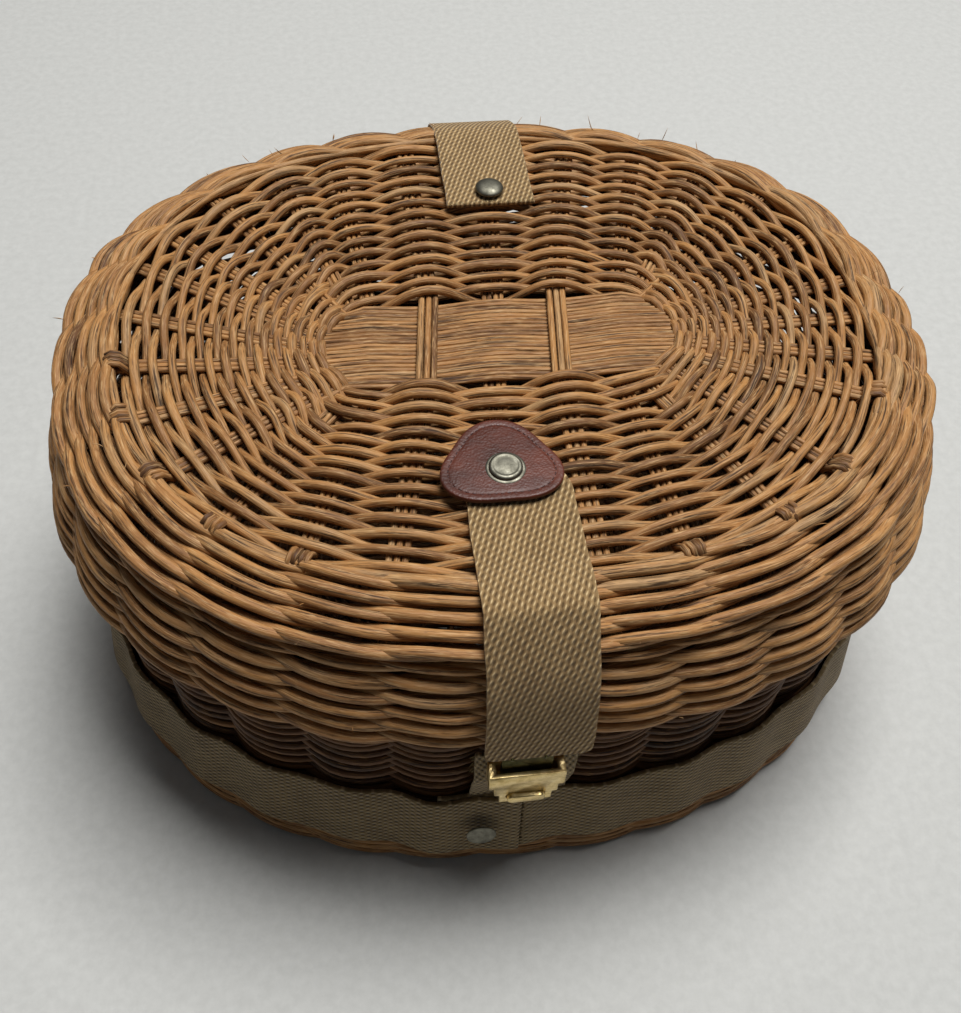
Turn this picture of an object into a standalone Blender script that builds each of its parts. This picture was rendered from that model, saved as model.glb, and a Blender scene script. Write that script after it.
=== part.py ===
"""Lidded oval wicker basket with webbing straps, a leather patch and a brass tuck lock.

Units are metres, +Z is up, the front of the basket faces -Y, and the origin lies on
the flat underside at the middle of the oval.
"""
import math

import bmesh
import bpy
from mathutils import Vector

# Plan of the basket: an oval that every ring follows at its own outward offset.
OVAL_HALF_LENGTH = 0.1510
OVAL_HALF_DEPTH = 0.1255
OVAL_POWER = 2.3
RING_STEPS = 48

# Clearance between pieces that touch.
GAP = 0.0003

# Base mat and the wall that stands on it.
BASE_THICKNESS = 0.0060
WALL_THICKNESS = 0.0055
FOOT_OUT = 0.0248
FOOT_ROD_DIAMETER = 0.0050
FOOT_ROD_COUNT = 3
FOOT_ROD_LIFT = 0.0004
WALL_WAIST_OUT = 0.0230
WALL_WAIST_HEIGHT_SHARE = 0.505
WALL_STAKES = 30
WALL_FIRST_STAKE_X = -0.0055
WALL_WEAVE_PITCH = 0.0032
WALL_WEAVE_DEPTH = 0.0028
WALL_FACET_ALLOWANCE = 0.0002
EVEN_STEPS = 400

# Thick rim rods round the mouth, and one thin rod above them.
SEAT_HEIGHT = 0.1530
RIM_ROD_DIAMETER = 0.0060
RIM_ROD_COUNT = 5
RIM_TOP_OUT = 0.0233
RIM_FLARE = 0.0072
RIM_FLARE_SHARES = (0, 0.36, 0.67, 0.86, 1)
RIM_ROD_STEP = 0.0064
RIM_TOP_DROP = 0.0107
THIN_ROD_DIAMETER = 0.0040
THIN_ROD_OUT = 0.0209
THIN_ROD_DROP = 0.0031
ROD_LEAN_ALLOWANCE = 0.0004

# Woven lid: a flat top, a border that slopes down, and the rods of that border.
LID_RISE = 0.0175
LID_THICKNESS = 0.0070
LID_ROD_DIAMETER = 0.0046
LID_ROD_PROUD = 0.0013
LID_BORDER_WIDTH = 0.0198
LID_BORDER_DROP = 0.0114
LID_ROD_OUT_SHARES = (0, 0.23, 0.48, 0.735, 1)
LID_ROD_DROP_SHARES = (0, 0.22, 0.44, 0.69, 1)
LID_SEAT_WIDTH = 0.0045
LID_SKIRT_THICKNESS = 0.0035
LID_WEAVE_ROWS = 30
LID_WEAVE_DEPTH = 0.0034
LID_WEAVE_MARGIN = 0.0008
LID_STRIP_LENGTH_SHARE = 0.46
LID_STRIP_DEPTH_SHARE = 0.195
LID_STRIP_BACK_SHARE = 0.068
LID_STRIP_POWER = 3.0
LID_STRIP_DROP = 0.0023
CROSS_STAKE_SHARE = 0.1855
CROSS_STAKE_FAN = 1.12
CROSS_STAKES = 5
END_STAKES = 9
END_STAKES_SPAN_SHARE = 0.865
WIDE_STAKE_SPACING = 0.0200
LEAST_WEAVE_SHARE = 0.35

# Cotton webbing: the belt, the hinge strap, the front strap and the lock's tab.
WEBBING_WIDTH = 0.0381
WEBBING_THICKNESS = 0.0019
BELT_BOTTOM = 0.0190
BELT_BOTTOM_OUT = 0.0278
BELT_TOP_OUT = 0.0226
BELT_LAP_LENGTH = 0.0320
BELT_END_PAST_RIVET = 0.0165
BELT_RIVET_IN_TAB = 0.00405
BELT_RAMP = 0.0120
BELT_RAMP_LEAD = 0.0020

# Straps over the lid: reach is the distance from the middle towards front or back.
STRAP_CREASE_OUT = 0.0121
STRAP_FOLD_CLEAR = 0.0054
STRAP_FOLD_BELOW_SEAT = 0.0004
STRAP_KNEE_IN = 0.0023
STRAP_KNEE_DROP = 0.0206
STRAP_RIM_CLEAR = 0.0023
FRONT_STRAP_X = -0.0045
FRONT_STRAP_PAST_RIVET = 0.0070
FRONT_STRAP_ABOVE_LOCK = 0.0075
HINGE_STRAP_X = 0.0060
HINGE_STRAP_PAST_RIVET = 0.0070
HINGE_STRAP_BELOW_RIVET = 0.0150
HINGE_STRAP_BELOW_RIM = 0.0037
HINGE_RIVET_REACH = 0.0760
HINGE_RIVET_ABOVE_BELT_BOTTOM = 0.0230
STRAP_RAMP = 0.0045

# Leather patch over the front strap's upper end.
PATCH_FROM_STRAP = 0.0050
PATCH_REACH = 0.0770
PATCH_WIDTH = 0.0440
PATCH_LENGTH = 0.0390
PATCH_THICKNESS = 0.0022
PATCH_CORNER_SHARE = 0.11
PATCH_STEPS = 40
PATCH_RIVET_RIGHT = 0.0010
PATCH_RIVET_FORWARD = 0.0035

# Rivets: a low domed cap, a shank and a burr washer on the inside.
RIVET_CAP_DIAMETER = 0.0120
RIVET_CAP_HEIGHT = 0.0022
RIVET_EDGE_HEIGHT = 0.0006
RIVET_SHANK_DIAMETER = 0.0036
RIVET_TAIL = 0.0012
BURR_DIAMETER = 0.0090
BURR_THICKNESS = 0.0010
PATCH_RING_DIAMETER = 0.0145
PATCH_RING_THICKNESS = 0.0007
RIVET_STEPS = 16

# Brass tuck lock on its webbing tab.
LOCK_FROM_STRAP = 0.0035
LOCK_BELOW_SEAT = 0.0495
LOCK_HEIGHT = 0.0205
LOCK_STEP_WIDTHS = (0.0280, 0.0236, 0.0196)
LOCK_STEP_SHARES = (0.44, 0.72, 1)
LOCK_DEPTH = 0.0070
LOCK_LEDGE_SLOPE = 0.0004
BACKPLATE_THICKNESS = 0.0008
BACKPLATE_INSET = 0.0010
PRONG_DIAMETER = 0.0014
PRONG_SPACING = 0.0140
PRONG_LENGTH = 0.0030
TAB_BEHIND_STRAP = 0.0065
TAB_ABOVE_BELT_BOTTOM = 0.0025
TAB_RISE = 0.0022
TAB_TOP_ABOVE_LOCK = 0.0020
TAB_RIGHT = 0.0010
SLOT_WIDTH = 0.0220
SLOT_THICKNESS = 0.0036
SLOT_DEPTH = 0.0090
BUTTON_WIDTH = 0.0140
BUTTON_HEIGHT = 0.0048
BUTTON_LENGTH = 0.0042
BUTTON_PROUD = 0.0018
BUTTON_BELOW_TOP = 0.0162
BUTTON_CLEARANCE = 0.0003
POCKET_DEPTH = 0.0052
SPRING_DIAMETER = 0.0032
SPRING_WALL = 0.0006
TONGUE_WIDTH = 0.0185
TONGUE_THICKNESS = 0.0014
TONGUE_ABOVE_SLOT_FLOOR = 0.0025
TONGUE_LAP = 0.0032
TONGUE_PRONG_SPACING = 0.0120
TONGUE_PRONG_DIAMETER = 0.0012
TONGUE_PRONG_LENGTH = 0.0014

# One overrun serves all cutters, and one distance merges doubled points.
CUT_OVERRUN = 0.0020
MERGE_DISTANCE = 0.00001


def clear_scene():
    """Remove whatever the file holds before the basket is modelled."""
    for old in list(bpy.data.objects):
        bpy.data.objects.remove(old, do_unlink=True)


def new_collection(name):
    """Make a collection below the scene's own."""
    made = bpy.data.collections.new(name)
    bpy.context.scene.collection.children.link(made)
    return made


def make_material(name, colour, roughness, metallic=0.0):
    """Make a Principled material from a linear colour."""
    material = bpy.data.materials.new(name)
    material.use_nodes = True
    shader = material.node_tree.nodes["Principled BSDF"]
    shader.inputs["Base Color"].default_value = (*colour, 1.0)
    shader.inputs["Roughness"].default_value = roughness
    shader.inputs["Metallic"].default_value = metallic
    return material


clear_scene()
BASKET = new_collection("lidded_basket")
CUTTERS = new_collection("cutters")

WILLOW_DARK = make_material("willow_dark", (0.16, 0.075, 0.032), 0.62)
WILLOW = make_material("willow", (0.26, 0.125, 0.052), 0.58)
WEBBING = make_material("cotton_webbing", (0.20, 0.15, 0.085), 0.90)
WEBBING_WORN = make_material("worn_webbing", (0.15, 0.115, 0.07), 0.92)
LEATHER = make_material("oxblood_leather", (0.105, 0.022, 0.017), 0.42)
NICKEL = make_material("aged_nickel", (0.42, 0.40, 0.35), 0.38, 1.0)
BRASS = make_material("lacquered_brass", (0.62, 0.42, 0.12), 0.30, 1.0)
SPRING_STEEL = make_material("spring_steel", (0.45, 0.45, 0.46), 0.35, 1.0)


def joint_empty(name, place):
    """Mark a joint's place with an empty that carries the moving pieces."""
    empty = bpy.data.objects.new(name, None)
    empty.empty_display_size = WEBBING_WIDTH
    empty.location = place
    BASKET.objects.link(empty)
    bpy.context.view_layer.update()
    return empty


def add_piece(name, mesh, material, parent=None):
    """Link a mesh as a named piece of the basket and hang it on its joint."""
    piece = bpy.data.objects.new(name, mesh)
    piece.data.materials.append(material)
    BASKET.objects.link(piece)
    if parent is not None:
        piece.parent = parent
        piece.matrix_parent_inverse = parent.matrix_world.inverted()
    return piece


def smooth(piece, degrees=40):
    """Shade the round faces smooth and keep the sharp edges."""
    piece.data.shade_smooth()
    piece.data.set_sharp_from_angle(angle=math.radians(degrees))


def mesh_from(bm, name):
    """Write a bmesh to a new mesh, with its faces turned outwards."""
    bmesh.ops.recalc_face_normals(bm, faces=bm.faces)
    mesh = bpy.data.meshes.new(name)
    bm.to_mesh(mesh)
    bm.free()
    return mesh


def plan_point(out, turn):
    """Give the point at a turn of the oval, moved outwards along its normal."""
    c = math.cos(turn)
    s = math.sin(turn)
    x = OVAL_HALF_LENGTH * math.copysign(abs(c) ** (2 / OVAL_POWER), c)
    y = OVAL_HALF_DEPTH * math.copysign(abs(s) ** (2 / OVAL_POWER), s)
    nx = math.copysign(abs(c) ** (2 - 2 / OVAL_POWER), c) / OVAL_HALF_LENGTH
    ny = math.copysign(abs(s) ** (2 - 2 / OVAL_POWER), s) / OVAL_HALF_DEPTH
    size = math.hypot(nx, ny)
    return x + out * nx / size, y + out * ny / size


def ring_points(out, height):
    """Give one ring of points round the oval at an offset and a height."""
    turns = [math.tau * step / RING_STEPS for step in range(RING_STEPS)]
    return [Vector((*plan_point(out, turn), height)) for turn in turns]


def turn_at_x(x, out, front=True):
    """Find the turn where the offset oval passes a given x, at front or back."""
    low, high = (math.pi, math.tau) if front else (math.pi, 0.0)
    for _ in range(50):
        middle = (low + high) / 2
        if plan_point(out, middle)[0] < x:
            low = middle
        else:
            high = middle
    return (low + high) / 2


def line_value(pairs, height):
    """Read an offset from (offset, height) pairs that run downwards."""
    for (out_a, high), (out_b, low) in zip(pairs, pairs[1:]):
        if high >= height >= low:
            share = (high - height) / (high - low)
            return out_a + share * (out_b - out_a)
    return pairs[-1][0]


def start_ring(bm, places):
    """Start an open surface as one ring through some points; give its edges and corners."""
    ring = bmesh.ops.create_circle(bm, segments=len(places), radius=OVAL_HALF_DEPTH)["verts"]
    for vert, place in zip(ring, places):
        vert.co = place
    return list({edge for vert in ring for edge in vert.link_edges}), ring


def grow_ring(bm, edges, ring, places):
    """Extrude a ring of edges to the next ring of points; give the new edges and corners."""
    grown = bmesh.ops.extrude_edge_only(bm, edges=edges)["geom"]
    fresh = set(item for item in grown if isinstance(item, bmesh.types.BMVert))
    next_ring = []
    for vert, place in zip(ring, places):
        partner = next(edge.other_vert(vert) for edge in vert.link_edges
                       if edge.other_vert(vert) in fresh)
        partner.co = place
        next_ring.append(partner)
    return [item for item in grown if isinstance(item, bmesh.types.BMEdge)], next_ring


def oval_surface(bm, profile):
    """Raise an open surface through the rings of a profile; give its first and last edges."""
    edges, ring = start_ring(bm, ring_points(*profile[0]))
    first_edges = edges
    for out, height in profile[1:]:
        edges, ring = grow_ring(bm, edges, ring, ring_points(out, height))
    return first_edges, edges


def woven_surface(bm, rows):
    """Raise an open surface through woven rows; give its first edges, last edges and last ring.

    Each row is a list of (place, lies in front) for its stakes. A face is divided along
    its two corners that lie in front, so that the rods stand as ridges round dark pits.
    """
    edges, ring = start_ring(bm, [place for place, in_front in rows[0]])
    first_edges = edges
    for above, row in zip(rows, rows[1:]):
        old_ring = ring
        edges, ring = grow_ring(bm, edges, ring, [place for place, in_front in row])
        for stake, (place, in_front) in enumerate(row):
            beside = (stake + 1) % len(row)
            corners = [(old_ring[stake], above[stake][1]), (old_ring[beside], above[beside][1]),
                       (ring[beside], row[beside][1]), (ring[stake], in_front)]
            high = [vert for vert, front in corners if front]
            face = next(face for face in ring[stake].link_faces
                        if all(vert in face.verts for vert, front in corners))
            bmesh.utils.face_split(face, high[0], high[1])
    return first_edges, edges, ring


def even_turns(first, last, count, out):
    """Spread stakes evenly by length between two turns of the oval."""
    turns = [first + (last - first) * step / EVEN_STEPS for step in range(EVEN_STEPS + 1)]
    points = [Vector(plan_point(out, turn)) for turn in turns]
    lengths = [0.0]
    for start, end in zip(points, points[1:]):
        lengths.append(lengths[-1] + (end - start).length)
    spread = []
    for stake in range(1, count + 1):
        wanted = lengths[-1] * stake / (count + 1)
        step = next(step for step, length in enumerate(lengths) if length >= wanted)
        share = (wanted - lengths[step - 1]) / (lengths[step] - lengths[step - 1])
        spread.append(turns[step - 1] + share * (turns[step] - turns[step - 1]))
    return spread


def oval_body(name, profile, material, parent=None):
    """Make a closed oval solid from a profile that runs from top to underside."""
    bm = bmesh.new()
    oval_surface(bm, profile)
    bmesh.ops.holes_fill(bm, edges=bm.edges, sides=RING_STEPS)
    return add_piece(name, mesh_from(bm, name), material, parent)


def oval_rod(name, out, height, diameter, material, parent=None):
    """Bend one round rod into a closed ring that follows the oval."""
    curve = bpy.data.curves.new(name, "CURVE")
    curve.dimensions = "3D"
    curve.twist_mode = "Z_UP"
    curve.bevel_depth = diameter / 2
    curve.bevel_resolution = 1
    spline = curve.splines.new("POLY")
    spline.points.add(RING_STEPS - 1)
    for point, place in zip(spline.points, ring_points(out, height)):
        point.co = (*place, 1.0)
    spline.use_cyclic_u = True
    spline.use_smooth = True
    return add_piece(name, curve, material, parent)


def ribbon(name, rows, material, parent=None):
    """Make webbing from rows of middle points, two or more to a row."""
    across = len(rows[0])
    bm = bmesh.new()
    bmesh.ops.create_grid(bm, x_segments=across - 1, y_segments=len(rows) - 1, size=1)
    bm.verts.ensure_lookup_table()
    for index, vert in enumerate(list(bm.verts)):
        vert.co = rows[index // across][index % across]
    piece = add_piece(name, mesh_from(bm, name), material, parent)
    thickness = piece.modifiers.new("thickness", "SOLIDIFY")
    thickness.thickness = WEBBING_THICKNESS
    thickness.offset = 0
    thickness.use_even_offset = True
    return piece


def offset_path(points, distance):
    """Move a path sideways by a distance, with mitred corners, to its left."""
    vectors = [Vector(point) for point in points]
    moved = []
    for index, point in enumerate(vectors):
        before = (point - vectors[index - 1]).normalized() if index else None
        last = index == len(vectors) - 1
        after = None if last else (vectors[index + 1] - point).normalized()
        if before is None:
            before = after
        if after is None:
            after = before
        side_a = Vector((-before.y, before.x))
        side_b = Vector((-after.y, after.x))
        middle = (side_a + side_b).normalized()
        moved.append(point + middle * (distance / middle.dot(side_a)))
    return moved


def strap_rows(path, x_middle, front):
    """Turn a (reach, height) path of a strap's inner face into webbing rows."""
    sign = -1 if front else 1
    rows = []
    for reach, height in offset_path(path, WEBBING_THICKNESS / 2):
        left = Vector((x_middle - WEBBING_WIDTH / 2, sign * reach, height))
        right = Vector((x_middle + WEBBING_WIDTH / 2, sign * reach, height))
        rows.append((left, right))
    return rows


def cut(piece, cutter, label):
    """Take a cutter out of a piece."""
    modifier = piece.modifiers.new(label, "BOOLEAN")
    modifier.operation = "DIFFERENCE"
    modifier.object = cutter
    modifier.solver = "EXACT"


def hide_cutter(cutter):
    """Keep a cutter out of the basket's own pieces."""
    for owner in list(cutter.users_collection):
        owner.objects.unlink(cutter)
    CUTTERS.objects.link(cutter)
    cutter.hide_render = True
    cutter.display_type = "WIRE"


def round_cutter(name, start, end, diameter):
    """Make a round cutter from one point to another."""
    along = Vector(end) - Vector(start)
    bpy.ops.mesh.primitive_cylinder_add(
        vertices=RIVET_STEPS, radius=diameter / 2, depth=along.length,
        location=(Vector(start) + Vector(end)) / 2,
        rotation=along.to_track_quat("Z", "Y").to_euler())
    cutter = bpy.context.object
    cutter.name = name
    hide_cutter(cutter)
    return cutter


def box_mesh(low, high, name):
    """Make a box between two corners."""
    bm = bmesh.new()
    bmesh.ops.create_cube(bm, size=1)
    middle = (Vector(low) + Vector(high)) / 2
    size = Vector(high) - Vector(low)
    for vert in bm.verts:
        vert.co = Vector((vert.co.x * size.x, vert.co.y * size.y, vert.co.z * size.z)) + middle
    return mesh_from(bm, name)


def box_cutter(name, low, high):
    """Make a box cutter between two corners."""
    cutter = bpy.data.objects.new(name, box_mesh(low, high, name))
    BASKET.objects.link(cutter)
    hide_cutter(cutter)
    return cutter


def turned_piece(name, profile, place, direction, material, parent=None, closed=False):
    """Turn a (radius, height) profile about an axis and set it in its place."""
    bm = bmesh.new()
    verts = [bm.verts.new((radius, 0, height)) for radius, height in profile]
    for a, b in zip(verts, verts[1:]):
        bm.edges.new((a, b))
    if closed:
        bm.edges.new((verts[-1], verts[0]))
    mesh = bpy.data.meshes.new(name)
    bm.to_mesh(mesh)
    bm.free()
    piece = add_piece(name, mesh, material)
    piece.location = place
    piece.rotation_euler = Vector(direction).to_track_quat("Z", "Y").to_euler()
    if parent is not None:
        piece.parent = parent
        piece.matrix_parent_inverse = parent.matrix_world.inverted()
    turn = piece.modifiers.new("turn", "SCREW")
    turn.axis = "Z"
    turn.angle = math.tau
    turn.steps = RIVET_STEPS
    turn.render_steps = RIVET_STEPS
    turn.use_merge_vertices = True
    turn.merge_threshold = MERGE_DISTANCE
    smooth(piece)
    return piece


def rivet(name, seat, direction, grip, parent=None):
    """Make a rivet whose cap sits on seat and whose shank runs back through grip."""
    cap = RIVET_CAP_DIAMETER / 2
    shank = RIVET_SHANK_DIAMETER / 2
    dome_shares = ((0, 1), (0.4, 0.88), (0.75, 0.6))
    dome_rise = RIVET_CAP_HEIGHT - RIVET_EDGE_HEIGHT
    profile = [(cap * r, GAP + RIVET_EDGE_HEIGHT + dome_rise * h) for r, h in dome_shares]
    profile += [(cap, GAP + RIVET_EDGE_HEIGHT), (cap, GAP), (shank, GAP)]
    profile += [(shank, -grip), (0, -grip)]
    return turned_piece(name, profile, seat, direction, NICKEL, parent)


def washer(name, seat, direction, diameter, thickness, material, parent=None):
    """Make a flat ring round a rivet's shank, standing up from its seat."""
    outer = diameter / 2
    inner = RIVET_SHANK_DIAMETER / 2 + GAP
    low = GAP
    profile = [(inner, low + thickness), (outer, low + thickness), (outer, low), (inner, low)]
    return turned_piece(name, profile, seat, direction, material, parent, closed=True)


# Heights, offsets and places that follow from the driving sizes.
LID_TOP = SEAT_HEIGHT + LID_RISE
LID_UNDERSIDE = LID_TOP - LID_THICKNESS
LID_ROD_TOP_CENTRE = LID_TOP + LID_ROD_PROUD - LID_ROD_DIAMETER / 2
WALL_TOP = SEAT_HEIGHT - GAP
WALL_FOOT = BASE_THICKNESS + GAP
BELT_LEAN = BELT_BOTTOM_OUT - BELT_TOP_OUT
BELT_TOP = BELT_BOTTOM + math.sqrt(WEBBING_WIDTH ** 2 - BELT_LEAN ** 2)
TAB_LAYER = WEBBING_THICKNESS + GAP
LOCK_X = FRONT_STRAP_X - LOCK_FROM_STRAP
TAB_X = LOCK_X + TAB_RIGHT
BELT_RIVET_X = TAB_X - WEBBING_WIDTH / 2 + BELT_RIVET_IN_TAB
BELT_END_X = BELT_RIVET_X + BELT_END_PAST_RIVET
PATCH_X = FRONT_STRAP_X - PATCH_FROM_STRAP
PATCH_RIVET_X = PATCH_X + PATCH_RIVET_RIGHT
PATCH_RIVET_REACH = PATCH_REACH + PATCH_RIVET_FORWARD

FOOT_RODS = [
    (FOOT_OUT + GAP + FOOT_ROD_DIAMETER / 2,
     FOOT_ROD_LIFT + FOOT_ROD_DIAMETER / 2 + row * (FOOT_ROD_DIAMETER + GAP))
    for row in range(FOOT_ROD_COUNT)
]
FOOT_TOP = FOOT_RODS[-1][1] + FOOT_ROD_DIAMETER / 2 + GAP
RIM_TOP = SEAT_HEIGHT - RIM_TOP_DROP
RIM_RODS = [
    (RIM_TOP_OUT + RIM_FLARE * RIM_FLARE_SHARES[row], RIM_TOP - row * RIM_ROD_STEP)
    for row in range(RIM_ROD_COUNT)
]
WALL_RIM_FOOT = RIM_RODS[-1][1] - RIM_ROD_DIAMETER
THIN_ROD = (THIN_ROD_OUT, SEAT_HEIGHT - THIN_ROD_DROP)
LID_RODS = [
    (LID_BORDER_WIDTH * out_share, LID_ROD_TOP_CENTRE - LID_BORDER_DROP * drop_share)
    for out_share, drop_share in zip(LID_ROD_OUT_SHARES, LID_ROD_DROP_SHARES)
]


def wall_profile():
    """Give the wall's outer face from its top edge down to the base."""
    set_back = RIM_ROD_DIAMETER / 2 + GAP + ROD_LEAN_ALLOWANCE
    thin_back = THIN_ROD_DIAMETER / 2 + GAP + ROD_LEAN_ALLOWANCE
    mouth_out = THIN_ROD[0] - thin_back
    rows = [(mouth_out, WALL_TOP), (mouth_out, THIN_ROD[1])]
    rows += [(out - set_back, height) for out, height in RIM_RODS]
    waist_height = BELT_TOP + WALL_WAIST_HEIGHT_SHARE * (WALL_RIM_FOOT - BELT_TOP)
    rows += [(rows[-1][0] - ROD_LEAN_ALLOWANCE, WALL_RIM_FOOT)]
    rows += [(WALL_WAIST_OUT, waist_height), (BELT_TOP_OUT, BELT_TOP)]
    rows += [(BELT_BOTTOM_OUT, BELT_BOTTOM), (FOOT_OUT, FOOT_TOP), (FOOT_OUT, WALL_FOOT)]
    return rows


WALL_ROWS = wall_profile()


def build_base():
    """The woven base mat, whose flat underside the basket stands on."""
    oval_body("base_mat", [(FOOT_OUT, BASE_THICKNESS), (FOOT_OUT, 0)], WILLOW_DARK)
    for row, (out, height) in enumerate(FOOT_RODS, start=1):
        oval_rod(f"foot_rod_{row}", out, height, FOOT_ROD_DIAMETER, WILLOW)


def woven_wall_rows():
    """Give the rows of the wall's weave, from under the rim down to the belt."""
    start = turn_at_x(WALL_FIRST_STAKE_X, BELT_TOP_OUT)
    turns = [start] + even_turns(start, start + math.tau, WALL_STAKES - 1, BELT_TOP_OUT)
    top = WALL_RIM_FOOT - WALL_WEAVE_PITCH
    bottom = BELT_TOP + WALL_WEAVE_PITCH
    steps = round((top - bottom) / WALL_WEAVE_PITCH)
    rows = []
    for step in range(steps + 1):
        height = top + (bottom - top) * step / steps
        front_out = line_value(WALL_ROWS, height) - WALL_FACET_ALLOWANCE
        row = []
        for stake, turn in enumerate(turns):
            in_front = (step + stake) % 2 == 0
            out = front_out if in_front else front_out - WALL_WEAVE_DEPTH
            row.append((Vector((*plan_point(out, turn), height)), in_front))
        rows.append(row)
    return rows


def build_wall():
    """The woven side wall, one shell that is open at the mouth."""
    bm = bmesh.new()
    above = [(out, height) for out, height in WALL_ROWS if height >= WALL_RIM_FOOT]
    below = [(out, height) for out, height in WALL_ROWS if height <= BELT_TOP]
    inner = [(out - WALL_THICKNESS, height) for out, height in WALL_ROWS]
    top_first, top_last = oval_surface(bm, above)
    woven_first, woven_last, last_row = woven_surface(bm, woven_wall_rows())
    low_first, low_last = oval_surface(bm, below + inner[::-1])
    bmesh.ops.bridge_loops(bm, edges=top_last + woven_first)
    bmesh.ops.bridge_loops(bm, edges=woven_last + low_first)
    bmesh.ops.bridge_loops(bm, edges=low_last + top_first)
    wall = add_piece("side_wall", mesh_from(bm, "side_wall"), WILLOW_DARK)
    smooth(wall)
    return wall


def build_rim():
    """The rods woven round the mouth."""
    oval_rod("rim_rod_thin", *THIN_ROD, THIN_ROD_DIAMETER, WILLOW)
    for row, (out, height) in enumerate(RIM_RODS, start=1):
        oval_rod(f"rim_rod_{row}", out, height, RIM_ROD_DIAMETER, WILLOW)


def belt_point(share, height_share, lift):
    """Give a point of the belt's middle face, lifted off the wall by a layer."""
    out = BELT_BOTTOM_OUT - BELT_LEAN * height_share
    height = BELT_BOTTOM + (BELT_TOP - BELT_BOTTOM) * height_share
    x, y = plan_point(out + GAP + WEBBING_THICKNESS / 2 + lift, share)
    return Vector((x, y, height))


def ramp(distance):
    """Rise smoothly from 0 to 1 along the belt's ramp."""
    share = min(max(distance / BELT_RAMP, 0), 1)
    return share * share * (3 - 2 * share)


def build_belt():
    """The webbing belt, which starts and ends at the front with one end lapped over."""
    start_x = BELT_END_X - BELT_LAP_LENGTH
    start_turn = turn_at_x(start_x, BELT_BOTTOM_OUT)
    end_turn = turn_at_x(BELT_END_X, BELT_BOTTOM_OUT) + math.tau
    near_steps = 14
    far_steps = 66
    near_end = turn_at_x(TAB_X + WEBBING_WIDTH / 2 + BELT_RAMP, BELT_BOTTOM_OUT)
    lap_start = turn_at_x(start_x - 2 * BELT_RAMP, BELT_BOTTOM_OUT) + math.tau
    turns = [start_turn + (near_end - start_turn) * n / near_steps for n in range(near_steps)]
    turns += [near_end + (lap_start - near_end) * n / far_steps for n in range(far_steps)]
    turns += [lap_start + (end_turn - lap_start) * n / near_steps for n in range(near_steps + 1)]
    rows = []
    for turn in turns:
        x, y = plan_point(BELT_BOTTOM_OUT, turn)
        at_front = y < 0
        edge = WEBBING_WIDTH / 2 + BELT_RAMP - abs(x - TAB_X)
        lift = TAB_LAYER * ramp(edge) if at_front else 0
        if turn > math.pi + math.tau:
            lift += TAB_LAYER * ramp(x - (start_x - BELT_RAMP - BELT_RAMP_LEAD))
        rows.append((belt_point(turn, 0, lift), belt_point(turn, 1, lift)))
    return ribbon("belt", rows, WEBBING_WORN)


def tab_rows():
    """Rows of the lock's tab, up the wall behind the belt and out to the lock."""
    lay = GAP + WEBBING_THICKNESS / 2
    bottom = BELT_BOTTOM + TAB_ABOVE_BELT_BOTTOM
    bend = BELT_TOP + TAB_RISE
    path = [
        (line_value(WALL_ROWS, bottom) + lay, bottom),
        (BELT_TOP_OUT + lay, BELT_TOP),
        (line_value(WALL_ROWS, bend) + lay, bend),
        (TAB_OUT, LOCK_BOTTOM),
        (TAB_OUT, LOCK_TOP + TAB_TOP_ABOVE_LOCK),
    ]
    columns = 6
    rows = []
    for out, height in path:
        row = []
        for column in range(columns + 1):
            x = TAB_X + WEBBING_WIDTH * (column / columns - 1 / 2)
            row.append(Vector((*plan_point(out, turn_at_x(x, out)), height)))
        rows.append(row)
    return rows


FOLD_HEIGHT = SEAT_HEIGHT - STRAP_FOLD_BELOW_SEAT
FLAT_ON_LID = LID_TOP + GAP
OVER_RODS = LID_TOP + LID_ROD_PROUD + GAP
LID_EDGE_REACH = OVAL_HALF_DEPTH + LID_BORDER_WIDTH + LID_ROD_DIAMETER / 2
STRAP_FOLD_REACH = LID_EDGE_REACH + STRAP_FOLD_CLEAR
RIM_REACH = OVAL_HALF_DEPTH + RIM_TOP_OUT + RIM_FLARE + RIM_ROD_DIAMETER / 2
STRAP_END_REACH = RIM_REACH + STRAP_RIM_CLEAR
KNEE = (STRAP_END_REACH - STRAP_KNEE_IN, FOLD_HEIGHT - STRAP_KNEE_DROP)
LOCK_TOP = SEAT_HEIGHT - LOCK_BELOW_SEAT
LOCK_BOTTOM = LOCK_TOP - LOCK_HEIGHT
FRONT_STRAP_END_HEIGHT = LOCK_TOP + FRONT_STRAP_ABOVE_LOCK
TONGUE_BOTTOM = LOCK_TOP - SLOT_DEPTH + TONGUE_ABOVE_SLOT_FLOOR
TONGUE_TOP = FRONT_STRAP_END_HEIGHT + TONGUE_LAP
TAB_OUT = STRAP_END_REACH - TAB_BEHIND_STRAP - OVAL_HALF_DEPTH
LOCK_BACK = OVAL_HALF_DEPTH + TAB_OUT + WEBBING_THICKNESS / 2 + GAP
LOCK_FACE = LOCK_BACK + BACKPLATE_THICKNESS + GAP + LOCK_DEPTH
BUTTON_Z = LOCK_TOP - BUTTON_BELOW_TOP
POCKET_BACK = LOCK_FACE - POCKET_DEPTH
HINGE_LOWER_RIVET_HEIGHT = BELT_BOTTOM + HINGE_RIVET_ABOVE_BELT_BOTTOM
HINGE_STRAP_END_HEIGHT = HINGE_LOWER_RIVET_HEIGHT - HINGE_STRAP_BELOW_RIVET
HINGE_STRAP_CLEAR_HEIGHT = RIM_RODS[-1][1] - HINGE_STRAP_BELOW_RIM


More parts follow.
